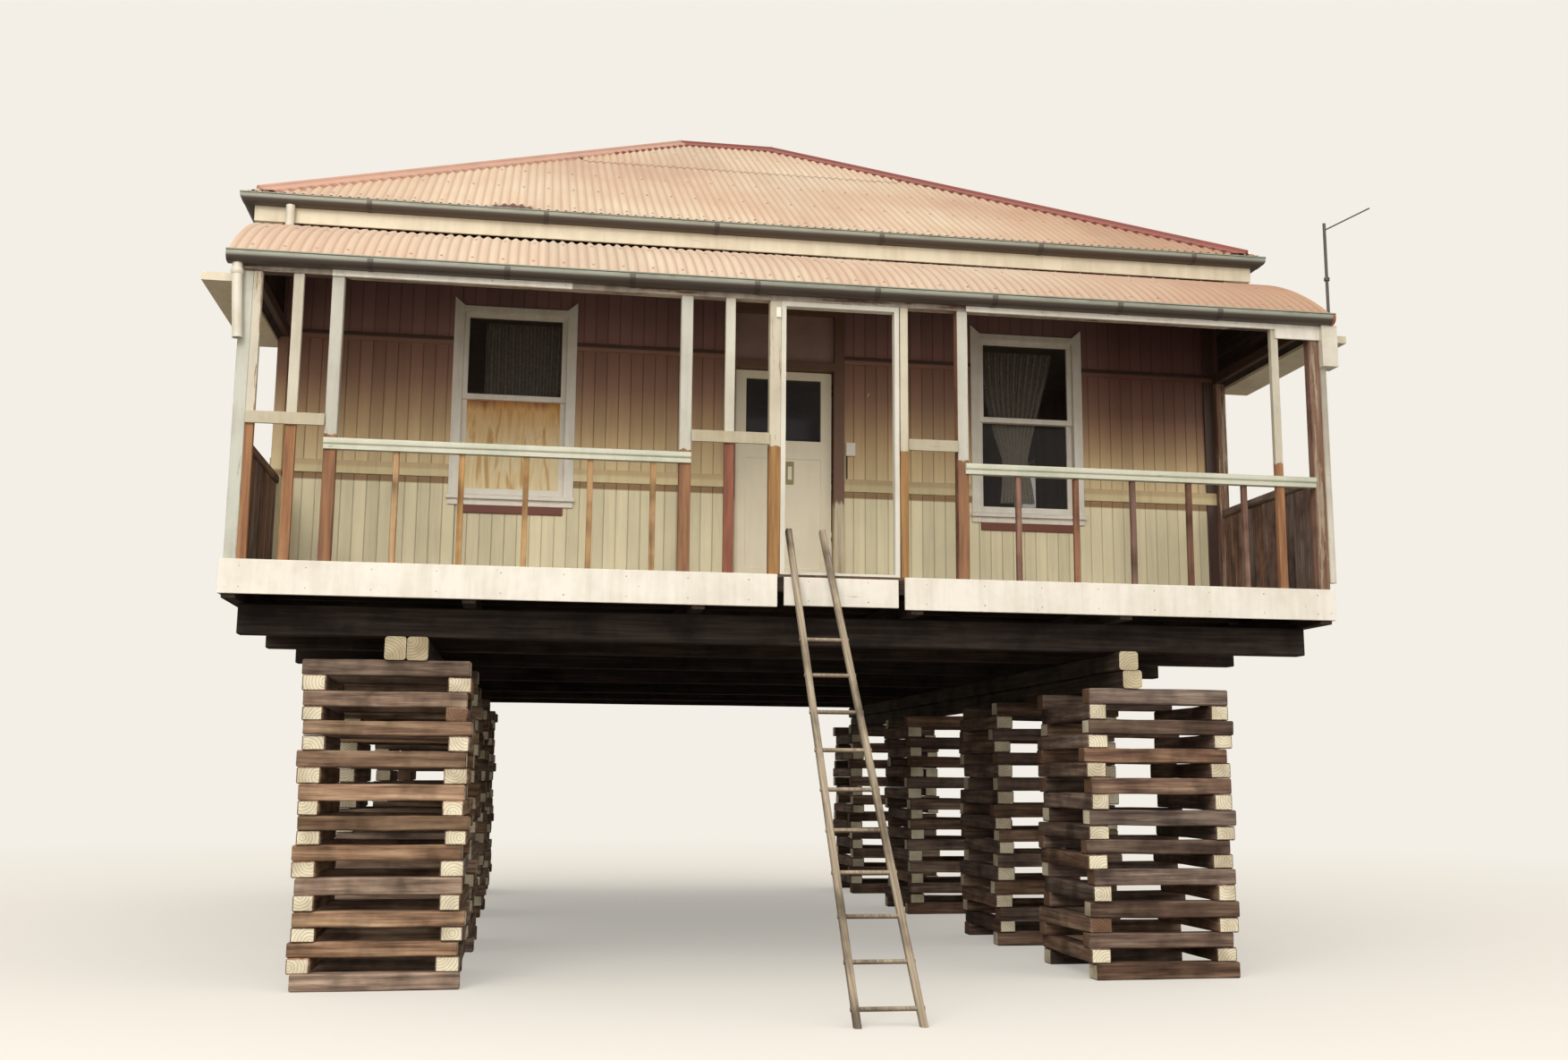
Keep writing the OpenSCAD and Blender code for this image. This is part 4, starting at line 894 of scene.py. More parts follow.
@dataclass
class MainRoof:
    """Hip roof: four slopes of iron in two courses, capping, gutter and eave boards."""

    house: House
    iron: Finish
    capping: Finish
    faded: Finish
    gutter: Finish
    eaves: Finish
    lead: Finish
    joint: Finish
    lap_at: float = 2.87      # length up the slope where the upper course starts
    lap: float = 0.15         # how far the courses overlap
    over: float = 0.004       # height of the upper course, and of the nails, over the lower one
    wing: float = 0.15        # width of the capping on each side
    back: float = 0.23        # distance from the wall to the gutter's back
    joints: tuple[float, ...] = (0.72, 2.21, 3.70, 5.19, 6.68, 8.16)     # right of the left corner
    side_joints: tuple[float, ...] = (1.6, 3.4, 5.2, 7.0, 8.8)           # behind the front plane
    bleached: float = 2.9     # the cappings' red has gone this far right of the left corner
    rust_at: float = 2.21     # middle of the rusted patch at the gutter, and its half width and length
    rust_half: float = 0.30
    rust_up: float = 0.26
    rust: float = 1.5         # how hard it has rusted; above 1 it is bare in the middle
    battens: tuple[float, float] = (0.12, 0.9)      # first batten, and from one to the next
    sheets: CorrugatedSheets = field(default_factory=CorrugatedSheets)

    def build(self) -> None:
        """Build the roof."""
        lo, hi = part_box("main_roof")
        run = (hi.y - lo.y) / 2
        rise = hi.z - lo.z
        hyp = math.hypot(run, rise)
        c, s = run / hyp, rise / hyp
        wide, deep = hi.x - lo.x, hi.y - lo.y
        slopes = {
            "front": (wide, lambda u, v, h: Vector((lo.x + u, lo.y + v * c - h * s, lo.z + v * s + h * c))),
            "rear": (wide, lambda u, v, h: Vector((hi.x - u, hi.y - v * c + h * s, lo.z + v * s + h * c))),
            "left": (deep, lambda u, v, h: Vector((lo.x + v * c - h * s, hi.y - u, lo.z + v * s + h * c))),
            "right": (deep, lambda u, v, h: Vector((hi.x - v * c + h * s, lo.y + u, lo.z + v * s + h * c))),
        }
        rng = random.Random(11)
        for side, (width, place) in slopes.items():
            piece = Piece(f"roof_sheets_{side}")
            front = side == "front"
            top = lambda u, w=width: max(0.0, min(u, w - u, run) / c)
            self.sheets.lay(piece, place, 0.0, width, lambda u: 0.0,
                            lambda u: min(top(u), self.lap_at + self.lap), 12 if front else 2, 0.0, rng,
                            self._rust if front else lambda u, v: 0.0)
            self.sheets.lay(piece, place, self.lap_at, width - self.lap_at,
                            lambda u: min(self.lap_at, top(u)), top, 2, self.over, rng)
            piece.done(self.iron, "roof_iron", replaces=["main_roof"] if front else [], sharp=50)
            self._nails(side, width, place, top)
        self._tongues(slopes, run / c)
        dress("roof_capping", self.capping)
        self._bleach(NODES["roof_capping"])
        dress("main_gutter", self.gutter)
        self._sleeves()
        Timbers("eave_boards", self.eaves, "cream_paint", arris=0.002).build()

    def _rust(self, u: float, v: float) -> float:
        """Give the rusted patch's strength for a place across and up the front slope."""
        across = max(0.0, 1 - abs(u - self.rust_at) / self.rust_half)
        return self.rust * across * max(0.0, 1 - v / self.rust_up)

    def _bleach(self, obj: bpy.types.Object) -> None:
        """Give a capping's faces at the left end their bleached paint."""
        recoat(obj, self.faded, lambda c, n: c.x < self.house.x0 + self.bleached)

    def _tongues(self, slopes: dict[str, tuple[float, Place]], ridge: float) -> None:
        """Dress the capping down into each valley of the iron.

        Args:
            slopes: Width and placing of each slope.
            ridge: Length of a slope from its foot to the ridge.
        """
        piece = Piece("capping_tongues")
        pitch, depth = self.sheets.pitch, self.sheets.depth
        seat, rim, thick = 0.0015, 0.003, 0.012     # height over the valley, of the edges and of the top
        lower, upper = -0.016, 0.03                 # the tongue's ends, from the capping's edge
        for width, place in slopes.values():
            scale = ridge / (min(w for w, _ in slopes.values()) / 2)
            for k in range(int(width / pitch)):
                u = (k + 0.5) * pitch
                v = min((min(u, width - u) - self.wing * math.sqrt(2)) * scale, ridge - self.wing * scale)
                if v < 0.03:
                    continue
                outline = [(-0.5 * pitch, rim)]
                outline += [(a * pitch, depth / 2 * (-math.cos(2 * math.pi * a) - 1) + seat)
                            for a in (-0.36, -0.22, -0.08, 0.08, 0.22, 0.36)]
                outline += [(0.5 * pitch, rim), (0.2 * pitch, thick), (-0.2 * pitch, thick)]
                rings = [[place(u + a, v + b, h) for a, h in outline] for b in (lower, upper)]
                piece.prism(rings, AXES, 0.5, 0.0)
        self._bleach(piece.done(self.capping, "capping_iron", sharp=60))

    def _sleeves(self) -> None:
        """Put a riveted sleeve over each joint of the gutter."""
        h = self.house
        piece = Piece("main_gutter_sleeves")
        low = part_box("main_gutter")[0].z - h.floor
        depth = h.wall1 - h.wall0
        for x in self.joints:
            gutter_sleeve(piece, h.at(x, h.verandah - self.back, low), -Y_DIR)
            gutter_sleeve(piece, h.at(x, h.verandah + depth + self.back, low), Y_DIR)
        for y in self.side_joints:
            gutter_sleeve(piece, h.at(-self.back, y, low), -X_DIR)
            gutter_sleeve(piece, h.at(h.width + self.back, y, low), X_DIR)
        piece.done(self.joint, "gutter_metal", sharp=40)

    def _nails(self, side: str, width: float, place: Place, top: Edge) -> None:
        """Nail one slope's iron along its battens.

        Args:
            side: The slope's name.
            width: Its width at its foot.
            place: Turns width, length and height on it into a point.
            top: Its upper edge for a place across.
        """
        piece = Piece(f"roof_nails_{side}")
        v, gap = self.battens
        while v < width:
            self.sheets.nails(piece, place, v, width, self.sheets.every, self.over, top)
            v += gap
        piece.done(self.lead, "roof_iron", sharp=40)


def nail(piece: Piece, place: Place, lift: float, radius: float = 0.011) -> None:
    """Add one domed nail head.

    Args:
        piece: Piece that gets it.
        place: Turns two distances along the surface and a height into a point.
        lift: Height of its underside.
        radius: Its radius.
    """
    rings = []
    for h, r in ((lift - 0.004, 1.0), (lift + 0.002, 0.9), (lift + 0.005, 0.5)):
        rings.append([place(radius * r * math.cos(a * math.pi / 3), radius * r * math.sin(a * math.pi / 3), h)
                      for a in range(6)])
    piece.prism(rings, AXES, 0.5, 0.0, smooth=True)


def nail_row(piece: Piece, start: Vector, step: Vector, count: int, out: Vector,
             radius: float = 0.006) -> None:
    """Add a row of nail heads on a board.

    Args:
        piece: Piece that gets them.
        start: Place of the first one, on the board's face.
        step: From one to the next.
        count: How many.
        out: Direction out of the face.
        radius: Radius of a head.
    """
    along = step.normalized()
    side = out.cross(along)
    for k in range(count):
        spot = start + step * k
        nail(piece, lambda a, b, h, spot=spot: spot + along * a + side * b + out * h, -0.002, radius)


def gutter_sleeve(piece: Piece, back: Vector, out: Vector, width: float = 0.045) -> None:
    """Add a sleeve that wraps a gutter's back edge, flat sole, round belly and face.

    Args:
        piece: Piece that gets it.
        back: Foot of the gutter's back at the joint.
        out: Direction away from the wall.
        width: Width of the sleeve along the gutter.
    """
    along = out.cross(UP)
    wide, belly, face, skin, sunk = 0.106, 0.054, 0.068, 0.003, 0.001
    arc = [(math.sin(a * math.pi / 16), -math.cos(a * math.pi / 16)) for a in range(1, 9)]
    path = [(0.0, 0.0), (wide - belly, 0.0)]
    path += [(wide - belly + belly * n, belly + belly * m) for n, m in arc] + [(wide, face)]
    normals = [(0.0, -1.0), (0.0, -1.0)] + arc + [(1.0, 0.0)]
    outer = [(x + skin * n, z + skin * m) for (x, z), (n, m) in zip(path, normals)]
    inner = [(x - sunk * n, z - sunk * m) for (x, z), (n, m) in zip(path, normals)]
    rings = [[back + out * x + UP * z + along * a for x, z in outer + inner[::-1]]
             for a in (-width / 2, width / 2)]
    piece.prism(rings, (along, out, UP), 0.5, 0.0)


def tube(piece: Piece, points: Sequence[Vector], radius: float, sides: int = 12) -> None:
    """Add a closed round bar through points.

    Args:
        piece: Piece that gets it.
        points: Its middle line.
        radius: Its radius.
        sides: Sides of its section.
    """
    rings = []
    for i, point in enumerate(points):
        ahead = (points[min(i + 1, len(points) - 1)] - points[max(i - 1, 0)]).normalized()
        side = ahead.cross(X_DIR if abs(ahead.x) < 0.8 else Y_DIR).normalized()
        up = ahead.cross(side)
        rings.append([point + side * radius * math.cos(2 * math.pi * a / sides)
                      + up * radius * math.sin(2 * math.pi * a / sides) for a in range(sides)])
    piece.prism(rings, (UP, X_DIR, Y_DIR), 0.5, 0.0, smooth=True)


@dataclass
class VerandahRoofs:
    """Curved verandah roofs of rolled sheets on sawn rafters, with gutters, hoods and end boards."""

    house: House
    iron: Finish
    gutter: Finish
    rafters: Finish
    cream: Finish
    lead: Finish
    joint: Finish
    rusty: Finish
    edge_out: float = 0.07    # how far the iron's foot stands out from the front plane
    low: float = 2.29         # height of its foot and of its top above the floor
    high: float = 3.07
    bulge: float = 0.14       # how far the arc rises over its chord
    side: float = 0.09        # how far it reaches past the corners
    back: float = 0.022       # distance from the front plane to the gutter's back
    battens: tuple[float, ...] = (0.12, 0.75, 1.4)
    last_batten: float = 0.1  # distance of the uppermost one from the iron's top
    joints: tuple[float, ...] = (0.93, 1.93, 2.87, 3.83, 4.78, 5.73, 6.77, 7.62)
    sheets: CorrugatedSheets = field(default_factory=CorrugatedSheets)

    def build(self) -> None:
        """Build both verandah roofs."""
        h = self.house
        chord = Vector((h.verandah + self.edge_out, self.high - self.low))
        radius = ((chord.length / 2) ** 2 + self.bulge ** 2) / (2 * self.bulge)
        tilt = math.atan2(chord.y, chord.x)
        middle = Vector((-self.edge_out, self.low)) + chord / 2
        centre = middle - (radius - self.bulge) * Vector((-math.sin(tilt), math.cos(tilt)))
        start = math.acos((centre.x + self.edge_out) / radius)
        stop = math.acos((centre.x - h.verandah) / radius)
        length = (stop - start) * radius
        width = h.width + 2 * self.side
        rng = random.Random(23)
        for name, behind in (("front", False), ("rear", True)):
            def place(u: float, v: float, lift: float) -> Vector:
                """Give the point on the arc.

                Args:
                    u: Place along the verandah.
                    v: Length up the arc.
                    lift: Height above it.

                Returns:
                    The point in the frame.
                """
                angle = start + v / radius
                y = centre.x - (radius + lift) * math.cos(angle)
                z = centre.y + (radius + lift) * math.sin(angle)
                return h.at(u - self.side, h.depth - y if behind else y, z)

            piece = Piece(f"verandah_sheets_{name}")
            self.sheets.lay(piece, place, 0.0, width, lambda u: 0.0, lambda u: length, 14, 0.0, rng)
            piece.done(self.iron, "roof_iron", replaces=[] if behind else ["verandah_roofs"], sharp=50)
            nails = Piece(f"verandah_nails_{name}")
            for v in (*self.battens, length - self.last_batten):
                self.sheets.nails(nails, place, v, width, 2, 0.002)
            nails.done(self.lead, "roof_iron", sharp=40)
        dress("verandah_gutters", self.gutter)
        sleeves = Piece("verandah_gutter_sleeves")
        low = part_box("verandah_gutters")[0].z - h.floor
        for x in self.joints:
            gutter_sleeve(sleeves, h.at(x, -self.back, low), -Y_DIR)
            gutter_sleeve(sleeves, h.at(x, h.depth + self.back, low), Y_DIR)
        sleeves.done(self.joint, "gutter_metal", sharp=40)
        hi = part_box("verandah_gutters")[1]
        cap = Piece("rusty_gutter_end")
        wide = 0.024
        gutter_sleeve(cap, h.at(hi.x - h.x0 - wide / 2, -self.back, low), -Y_DIR, wide)
        cap.done(self.rusty, "gutter_metal", sharp=40)
        # the rafters take the near-black timber: painted shade
        Timbers("verandah_rafters", self.rafters, "dark_timber", arris=0.003, seed=3).build()
        ends = Timbers("end_boards", self.cream, "cream_paint", arris=0.002, seed=4).build()
        middle_x = h.x0 + h.width / 2
        # the end boards' inner faces take it too: painted shade, on boards bare inside
        recoat(ends, self.rafters, lambda c, n: n.x * (c.x - middle_x) < -0.5)
        Timbers("end_hoods", self.cream, "cream_paint", arris=0.0, seed=5).build()
        self._fillets()

    def _fillets(self) -> None:
        """Run a hollow moulding under each side plate, where the hood meets it."""
        h = self.house
        piece = Piece("hood_fillets")
        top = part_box("end_hoods")[1].z - h.floor
        outline = [(-0.002, 0.003), (-0.002, -0.034), (0.006, -0.034), (0.009, -0.022), (0.016, -0.012),
                   (0.028, -0.006), (0.040, -0.004), (0.040, 0.003)]
        for x, side in ((0.0, 1), (h.width, -1)):
            for y0, y1 in h.end_bays:
                rings = [[h.at(x + side * a, y, top + b) for a, b in outline] for y in (y0, y1)]
                piece.prism(rings, (Y_DIR, X_DIR * side, UP), 0.5, 1.0)
        # the fillets take the near-black timber: painted shade
        piece.done(self.rafters, "dark_timber")


@dataclass
class Walls:
    """Walls of tongued upright boards, each board a strip of the wall's full thickness."""

    house: House
    paint: Finish
    outer: Finish
    belts: Finish
    inside: Finish
    trim: Finish
    thick: float = 0.1
    board: float = 0.1055
    first: float = 0.04       # where the first joint lies from the corner
    joint: float = 0.005      # width of a V joint's slope
    top: float = 3.14
    window_w: float = 0.93
    window_low: float = 0.842
    window_high: float = 2.498
    side_in: float = 1.9      # distance of a side window's middle from the nearer corner
    corner_spans: tuple[tuple[float, float], ...] = ((0.0, 1.0), (1.112, 2.17), (2.24, 2.75))

    def build(self) -> None:
        """Build the walls, belts and ceiling."""
        h = self.house
        rng = random.Random(31)
        door_lo, door_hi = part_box("front_wall_over_door")
        left, right = door_lo.x - h.x0, door_hi.x - h.x0
        depth = h.wall1 - h.wall0
        holes = [self._hole(x) for x in WINDOWS]
        front = h.at(0, h.verandah, 0)
        piece = Piece("front_wall_boards")
        self._run(piece, front, X_DIR, Y_DIR, 0, left, 0, self.top, holes, rng)
        self._run(piece, front, X_DIR, Y_DIR, right, h.width, 0, self.top, holes, rng)
        piece.done(self.paint, "wall_boards", replaces=["front_walls"])
        piece = Piece("over_door_boards")
        self._run(piece, front, X_DIR, Y_DIR, left, right, door_lo.z - h.floor, self.top, [], rng)
        piece.done(self.paint, "wall_boards", replaces=["front_wall_over_door"])
        piece = Piece("rear_wall_boards")
        self._run(piece, h.at(0, h.verandah + depth, 0), X_DIR, -Y_DIR, 0, h.width, 0, self.top, holes, rng)
        piece.done(self.paint, "wall_boards", replaces=["rear_wall"])
        piece = Piece("side_wall_boards")
        sides = [self._hole(self.side_in), self._hole(depth - self.side_in)]
        for x, inward in ((0.0, X_DIR), (h.width, -X_DIR)):
            self._run(piece, h.at(x, h.verandah, 0), Y_DIR, inward, self.thick, depth - self.thick, 0,
                      self.top, sides, rng)
        piece.done(self.outer, "wall_boards", replaces=["side_walls"])
        belts = Timbers("wall_belts", self.belts, "wall_boards", arris=0.003, seed=6).build()
        recoat(belts, self.outer, lambda c, n: abs(c.x - h.x0 - h.width / 2) > h.width / 2)
        dress("ceiling", self.inside)
        self._corner_boards()

    def _corner_boards(self) -> None:
        """Nail a dark board, cut round the rails, over the wall's joint with the right corner posts; its
        near-black colour is painted shade.
        """
        h = self.house
        piece = Piece("wall_corner_boards")
        wide, thick, ease = 0.095, 0.02, 0.004
        x1 = h.width - POST
        outline = [(x1 - wide, 0), (x1, 0), (x1, thick), (x1 - wide + ease, thick), (x1 - wide, thick - ease)]
        for y, out in ((h.verandah, -1), (h.depth - h.verandah, 1)):
            for foot, top in self.corner_spans:
                rings = [[h.at(x, y + out * t, z) for x, t in outline] for z in (foot, top)]
                piece.prism(rings, (UP, X_DIR, Y_DIR * out), 0.4, 3.0)
        piece.done(self.trim, "brown_timber")

    def _hole(self, middle: float) -> Sides:
        """Sides, sill and head of a window's hole."""
        return (middle - self.window_w / 2, middle + self.window_w / 2, self.window_low, self.window_high)

    def _run(self, piece: Piece, origin: Vector, along: Vector, inward: Vector, a: float, b: float,
             z0: float, z1: float, holes: Sequence[Sides],
             rng: random.Random) -> None:
        """Add upright boards from a to b, cut round the holes.

        Args:
            piece: Piece that gets them.
            origin: Foot of the wall's outer face.
            along: Direction in which the wall runs.
            inward: Direction into the house.
            a: Where the boards start.
            b: Where they stop.
            z0: Their foot.
            z1: Their top.
            holes: Openings in the wall.
            rng: Steady random numbers.
        """
        joints = {round(a, 4), round(b, 4)}
        steps = (self.first + k * self.board for k in range(int(b / self.board) + 2))
        joints |= {round(u, 4) for u in steps if a < u < b}
        cuts = {round(e, 4) for hole in holes for e in hole[:2] if a < e < b}
        marks = sorted(joints | cuts)
        tone = rng.random()
        for p, q in zip(marks, marks[1:]):
            if q - p < 0.002:
                continue
            if p in joints:
                tone = rng.random()
            spans = [(z0, z1)]
            for left, right, low, high in holes:
                if p >= left - 1e-3 and q <= right + 1e-3:
                    spans = [(z0, low), (high, z1)]
            vp = self.joint if p in joints else 0.0
            vq = self.joint if q in joints else 0.0
            t = self.thick
            plan = [(p, vp), (p + vp, 0), (q - vq, 0), (q, vq), (q, t - vq), (q - vq, t), (p + vp, t),
                    (p, t - vp)]
            plan = [m for i, m in enumerate(plan) if m != plan[i - 1]]
            for low, high in spans:
                rings = [[origin + along * u + inward * w + UP * z for u, w in plan] for z in (low, high)]
                piece.prism(rings, (UP, along, inward), tone, rng.uniform(0, 30))


@dataclass
class Windows:
    """Sash windows with casings, glass, one boarded sash and the curtains that show."""

    house: House
    white: Finish
    glass: Finish
    plywood: Finish
    lace: Finish
    behind: float = 0.15      # distance of the curtains from the wall's outer face
    cloth: float = 0.0012     # thickness that they are drawn with
    folds: int = 11

    def build(self) -> None:
        """Build the windows."""
        Timbers("window_frames", self.white, "white_paint", arris=0.003, seed=7).build()
        Timbers("window_sashes", self.white, "white_paint", arris=0.003, seed=8).build()
        Timbers("boarded_sash", self.plywood, "raw_plywood", arris=0.001, seed=9).build()
        dress("window_glass", self.glass)
        self._curtain("lace_curtain_right", x=WINDOWS[1] - 0.05, top=2.40, drop=1.42, width=1.3,
                      shape=self._drawn)
        self._curtain("net_curtain_left", x=WINDOWS[0] + 0.07, top=2.42, drop=0.76, width=1.0,
                      shape=lambda t: (0.66, 0.0))

    @staticmethod
    def _drawn(t: float) -> tuple[float, float]:
        """Draw the lace together towards its waist and let it flare below.

        Args:
            t: Share of the drop.

        Returns:
            Hung width and sideways shift there.
        """
        head, waist, waist_at, flare, swing = 0.69, 0.227, 0.72, 0.35, 0.03
        hung = head - (head - waist) * min(1.0, t / waist_at) ** 1.35 + flare * max(0.0, t - waist_at)
        return hung, -swing * math.sin(math.pi * min(1.0, t / 0.9))

    def _curtain(self, name: str, x: float, top: float, drop: float, width: float,
                 shape: Callable[[float], tuple[float, float]]) -> None:
        """Hang one gathered curtain behind the glass.

        Args:
            name: The piece's name.
            x: Its middle along the front.
            top: Height of its head above the floor.
            drop: Its length.
            width: The width it was cut to.
            shape: Hung width and sideways shift for a share of the drop.
        """
        piece = Piece(name)
        folds, across, down, y = self.folds, 12 * self.folds, 24, self.house.verandah + self.behind
        rows = []
        for j in range(down + 1):
            t = j / down
            hung, shift = shape(t)
            deep = self._fold_depth(hung, width, folds)
            row = []
            for i in range(across + 1):
                s = i / across
                wave = math.sin(2 * math.pi * folds * s + 0.5 * math.sin(3 * t + 5 * s))
                row.append((self.house.at(x + shift + (s - 0.5) * hung, y + deep * wave, top - drop * t),
                            Vector((s * width, t * drop, 0))))
            rows.append(row)
        faces = [[[piece.vert(p + Y_DIR * side, g, 0.5) for p, g in row] for row in rows]
                 for side in (-self.cloth / 2, self.cloth / 2)]
        new = piece.bm.faces.new
        for j in range(down):
            for i in range(across):
                for k, sheet in enumerate(faces):
                    quad = (sheet[j][i], sheet[j][i + 1], sheet[j + 1][i + 1], sheet[j + 1][i])
                    new(quad if k else quad[::-1])
        a, b = faces
        for i in range(across):
            for j in (0, down):
                new((a[j][i], a[j][i + 1], b[j][i + 1], b[j][i]))
        for j in range(down):
            for i in (0, across):
                new((a[j][i], a[j + 1][i], b[j + 1][i], b[j][i]))
        obj = piece.done(self.lace, "white_paint", sharp=60)

    @staticmethod
    def _fold_depth(hung: float, width: float, folds: int) -> float:
        """Find how deep the folds are for the cloth to keep its width.

        Args:
            hung: Width that it hangs in.
            width: Width that it was cut to.
            folds: Number of folds.

        Returns:
            Half the depth of a fold.
        """
        low, high = 0.0, 0.2
        for _ in range(30):
            deep = (low + high) / 2
            steps = 48
            length = folds * sum(math.hypot(hung / folds / steps, deep * (
                math.sin(2 * math.pi * (k + 1) / steps) - math.sin(2 * math.pi * k / steps)))
                for k in range(steps))
            low, high = (deep, high) if length < width else (low, deep)
        return low


def rounded_block(piece: Piece, house: House, sides: Sides, wall: float,
                  layers: Sequence[tuple[float, float, float, float]], screws: float = 0.018) -> None:
    """Add a block with rounded corners on an upright face, in layers, with two screws.

    Args:
        piece: Piece that gets it.
        house: The house's lines.
        sides: Left, right, foot and top.
        wall: Distance of the face behind the front plane.
        layers: Where each layer starts and stops, how far it is set in, and its corner radius.
        screws: Distance of the screws from its foot and top.
    """
    x0, x1, z0, z1 = sides
    for a, b, inset, ease in layers:
        outline = []
        for cx, cz, start in ((x1, z1, 0), (x0, z1, 1), (x0, z0, 2), (x1, z0, 3)):
            sx, sz = (1 if cx == x1 else -1), (1 if cz == z1 else -1)
            for k in range(4):
                turn = math.pi / 2 * (start + k / 3)
                outline.append((cx - sx * (inset + ease) + ease * math.cos(turn),
                                cz - sz * (inset + ease) + ease * math.sin(turn)))
        rings = [[house.at(x, wall - t, z) for x, z in outline] for t in (a, b)]
        piece.prism(rings, (UP, X_DIR, -Y_DIR), 0.5, 0.0)
    face = layers[-1][1]
    for z in (z0 + screws, z1 - screws):
        nail(piece, lambda a, b, t, z=z: house.at((x0 + x1) / 2 + a, wall - face - t, z + b), 0.0, 0.006)


@dataclass
class FrontDoor:
    """The door leaf with its glass and metalwork, its posts and the panel over it."""

    house: House
    posts: Finish
    leaf: Finish
    panel: Finish
    glass: Finish
    brass: Finish
    iron: Finish
    plate: Finish
    sunk: float = 0.059       # distance from the wall's face back to the leaf's sunk panel
    lock_side: float = 4.6    # outside and left of this the metalwork is made anew, not copied
    plate_at: Sides = (4.388, 4.465, 1.060, 1.268)      # sides, foot and top
    flap_at: Sides = (4.410, 4.446, 1.102, 1.222)
    screws: float = 0.012     # distance of the screws from the plate's foot and top
    keyhole_at: tuple[float, float] = (4.397, 1.379)

    def build(self) -> None:
        """Build the door."""
        # the door posts' brown top and cream foot are painted shade and painted light
        Timbers("door_frame", self.posts, "brown_timber", arris=0.003, seed=10).build()
        Timbers("door_leaf", self.leaf, "door_paint", arris=0.003, seed=11, body=Body.FRONT_DOOR).build()
        dress("fanlight_panel", self.panel)
        dress("door_glass", self.glass)
        dress("door_hinges", self.iron)
        self._metalwork()

    def _metalwork(self) -> None:
        """Copy the hinge knuckles and the inner knob, and screw on the letter plate and the keyhole's rim."""
        h = self.house
        piece = Piece("door_metalwork")
        piece.copy("door_furniture", merge=False)
        for group in piece.islands():
            outside = min(v.co.y for v in group) < h.wall0 + self.sunk
            if outside and max(v.co.x for v in group) < h.x0 + self.lock_side:
                bmesh.ops.delete(piece.bm, geom=group, context="VERTS")
        piece.done(self.brass, "door_metal", Body.FRONT_DOOR, ["door_furniture"], sharp=40)
        face = h.verandah + self.sunk
        plate = Piece("door_letter_plate")
        rounded_block(plate, h, self.plate_at, face,
                      ((-0.001, 0.005, 0.0, 0.005), (0.005, 0.008, 0.005, 0.005)), self.screws)
        plate.done(self.plate, "door_metal", Body.FRONT_DOOR, sharp=30)
        flap = Piece("door_letter_flap")
        rounded_block(flap, h, self.flap_at, face,
                      ((0.007, 0.010, 0.0, 0.004), (0.010, 0.012, 0.004, 0.004)), self.screws)
        flap.done(self.leaf, "door_paint", Body.FRONT_DOOR, sharp=30)
        rim = Piece("door_keyhole")
        x, z = self.keyhole_at
        tube(rim, [h.at(x, face + d, z) for d in (0.001, -0.002, -0.004)], 0.012, 16)
        rim.done(self.iron, "hinge_iron", Body.FRONT_DOOR, sharp=40)


@dataclass
class Floors:
    """Floor boards laid from front to back, and the timbers that carry them."""

    house: House
    boards: Finish
    frame: Finish
    beams: Finish
    white: Finish
    nails: Finish
    board: float = 0.1
    thick: float = 0.022
    ease: float = 0.0015      # how far a board's upper edges are eased

    def build(self) -> None:
        """Build the floors and their frame."""
        h = self.house
        rng = random.Random(41)
        piece = Piece("house_floor_boards")
        self._lay(piece, h.verandah, h.depth - h.verandah, rng)
        piece.done(self.boards, "floor_timber", replaces=["house_floor"])
        piece = Piece("verandah_floor_boards")
        self._lay(piece, 0.0, h.verandah, rng)
        self._lay(piece, h.depth - h.verandah, h.depth, rng)
        piece.done(self.boards, "floor_timber", replaces=["verandah_floors"])
        # the floor frame takes the near-black timber: painted shade
        Timbers("floor_joists", self.frame, "dark_timber", bow=0.003, seed=12, pale=0.1).build()
        Timbers("floor_bearers", self.frame, "dark_timber", bow=0.004, seed=13, pale=0.1).build()
        Timbers("cross_timbers", self.frame, "dark_timber", arris=0.006, bow=0.006, seed=14, pale=0.3).build()
        # the beams' near-black sides are painted shade
        Timbers("lifting_beams", self.beams, "beam_timber", arris=0.004, bow=0.005, seed=15, pale=1.0).build()
        Timbers("edge_boards", self.white, "white_paint", arris=0.003, bow=0.003, seed=16).build()
        self._nails()

    def _nails(self) -> None:
        """Nail the boards round the floor's edge to the joists' ends, two nails high."""
        h = self.house
        lo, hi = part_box("edge_boards")
        piece = Piece("edge_board_nails")
        first, gap = 0.12, 0.46
        for drop in (0.05, 0.2):
            for y, out in ((lo.y, -Y_DIR), (hi.y, Y_DIR)):
                nail_row(piece, Vector((h.x0 + first, y, h.floor - drop)), X_DIR * gap, 19, out)
            for x, out in ((lo.x, -X_DIR), (hi.x, X_DIR)):
                nail_row(piece, Vector((x, h.y0 + first, h.floor - drop)), Y_DIR * gap, 24, out)
        piece.done(self.nails, "white_paint", sharp=40)

    def _lay(self, piece: Piece, y0: float, y1: float, rng: random.Random) -> None:
        """Lay boards side by side.

        Args:
            piece: Piece that gets them.
            y0: Where they start behind the front plane.
            y1: Where they stop.
            rng: Steady random numbers.
        """
        h = self.house
        count = round(h.width / self.board)
        wide = h.width / count
        e, t = self.ease, self.thick
        for k in range(count):
            a, b = k * wide, (k + 1) * wide
            outline = [(a, -t), (b, -t), (b, -e), (b - e, 0), (a + e, 0), (a, -e)]
            rings = [[h.at(x, y, z) for x, z in outline] for y in (y0, y1)]
            piece.prism(rings, (Y_DIR, X_DIR, UP), rng.random(), rng.uniform(0, 30))


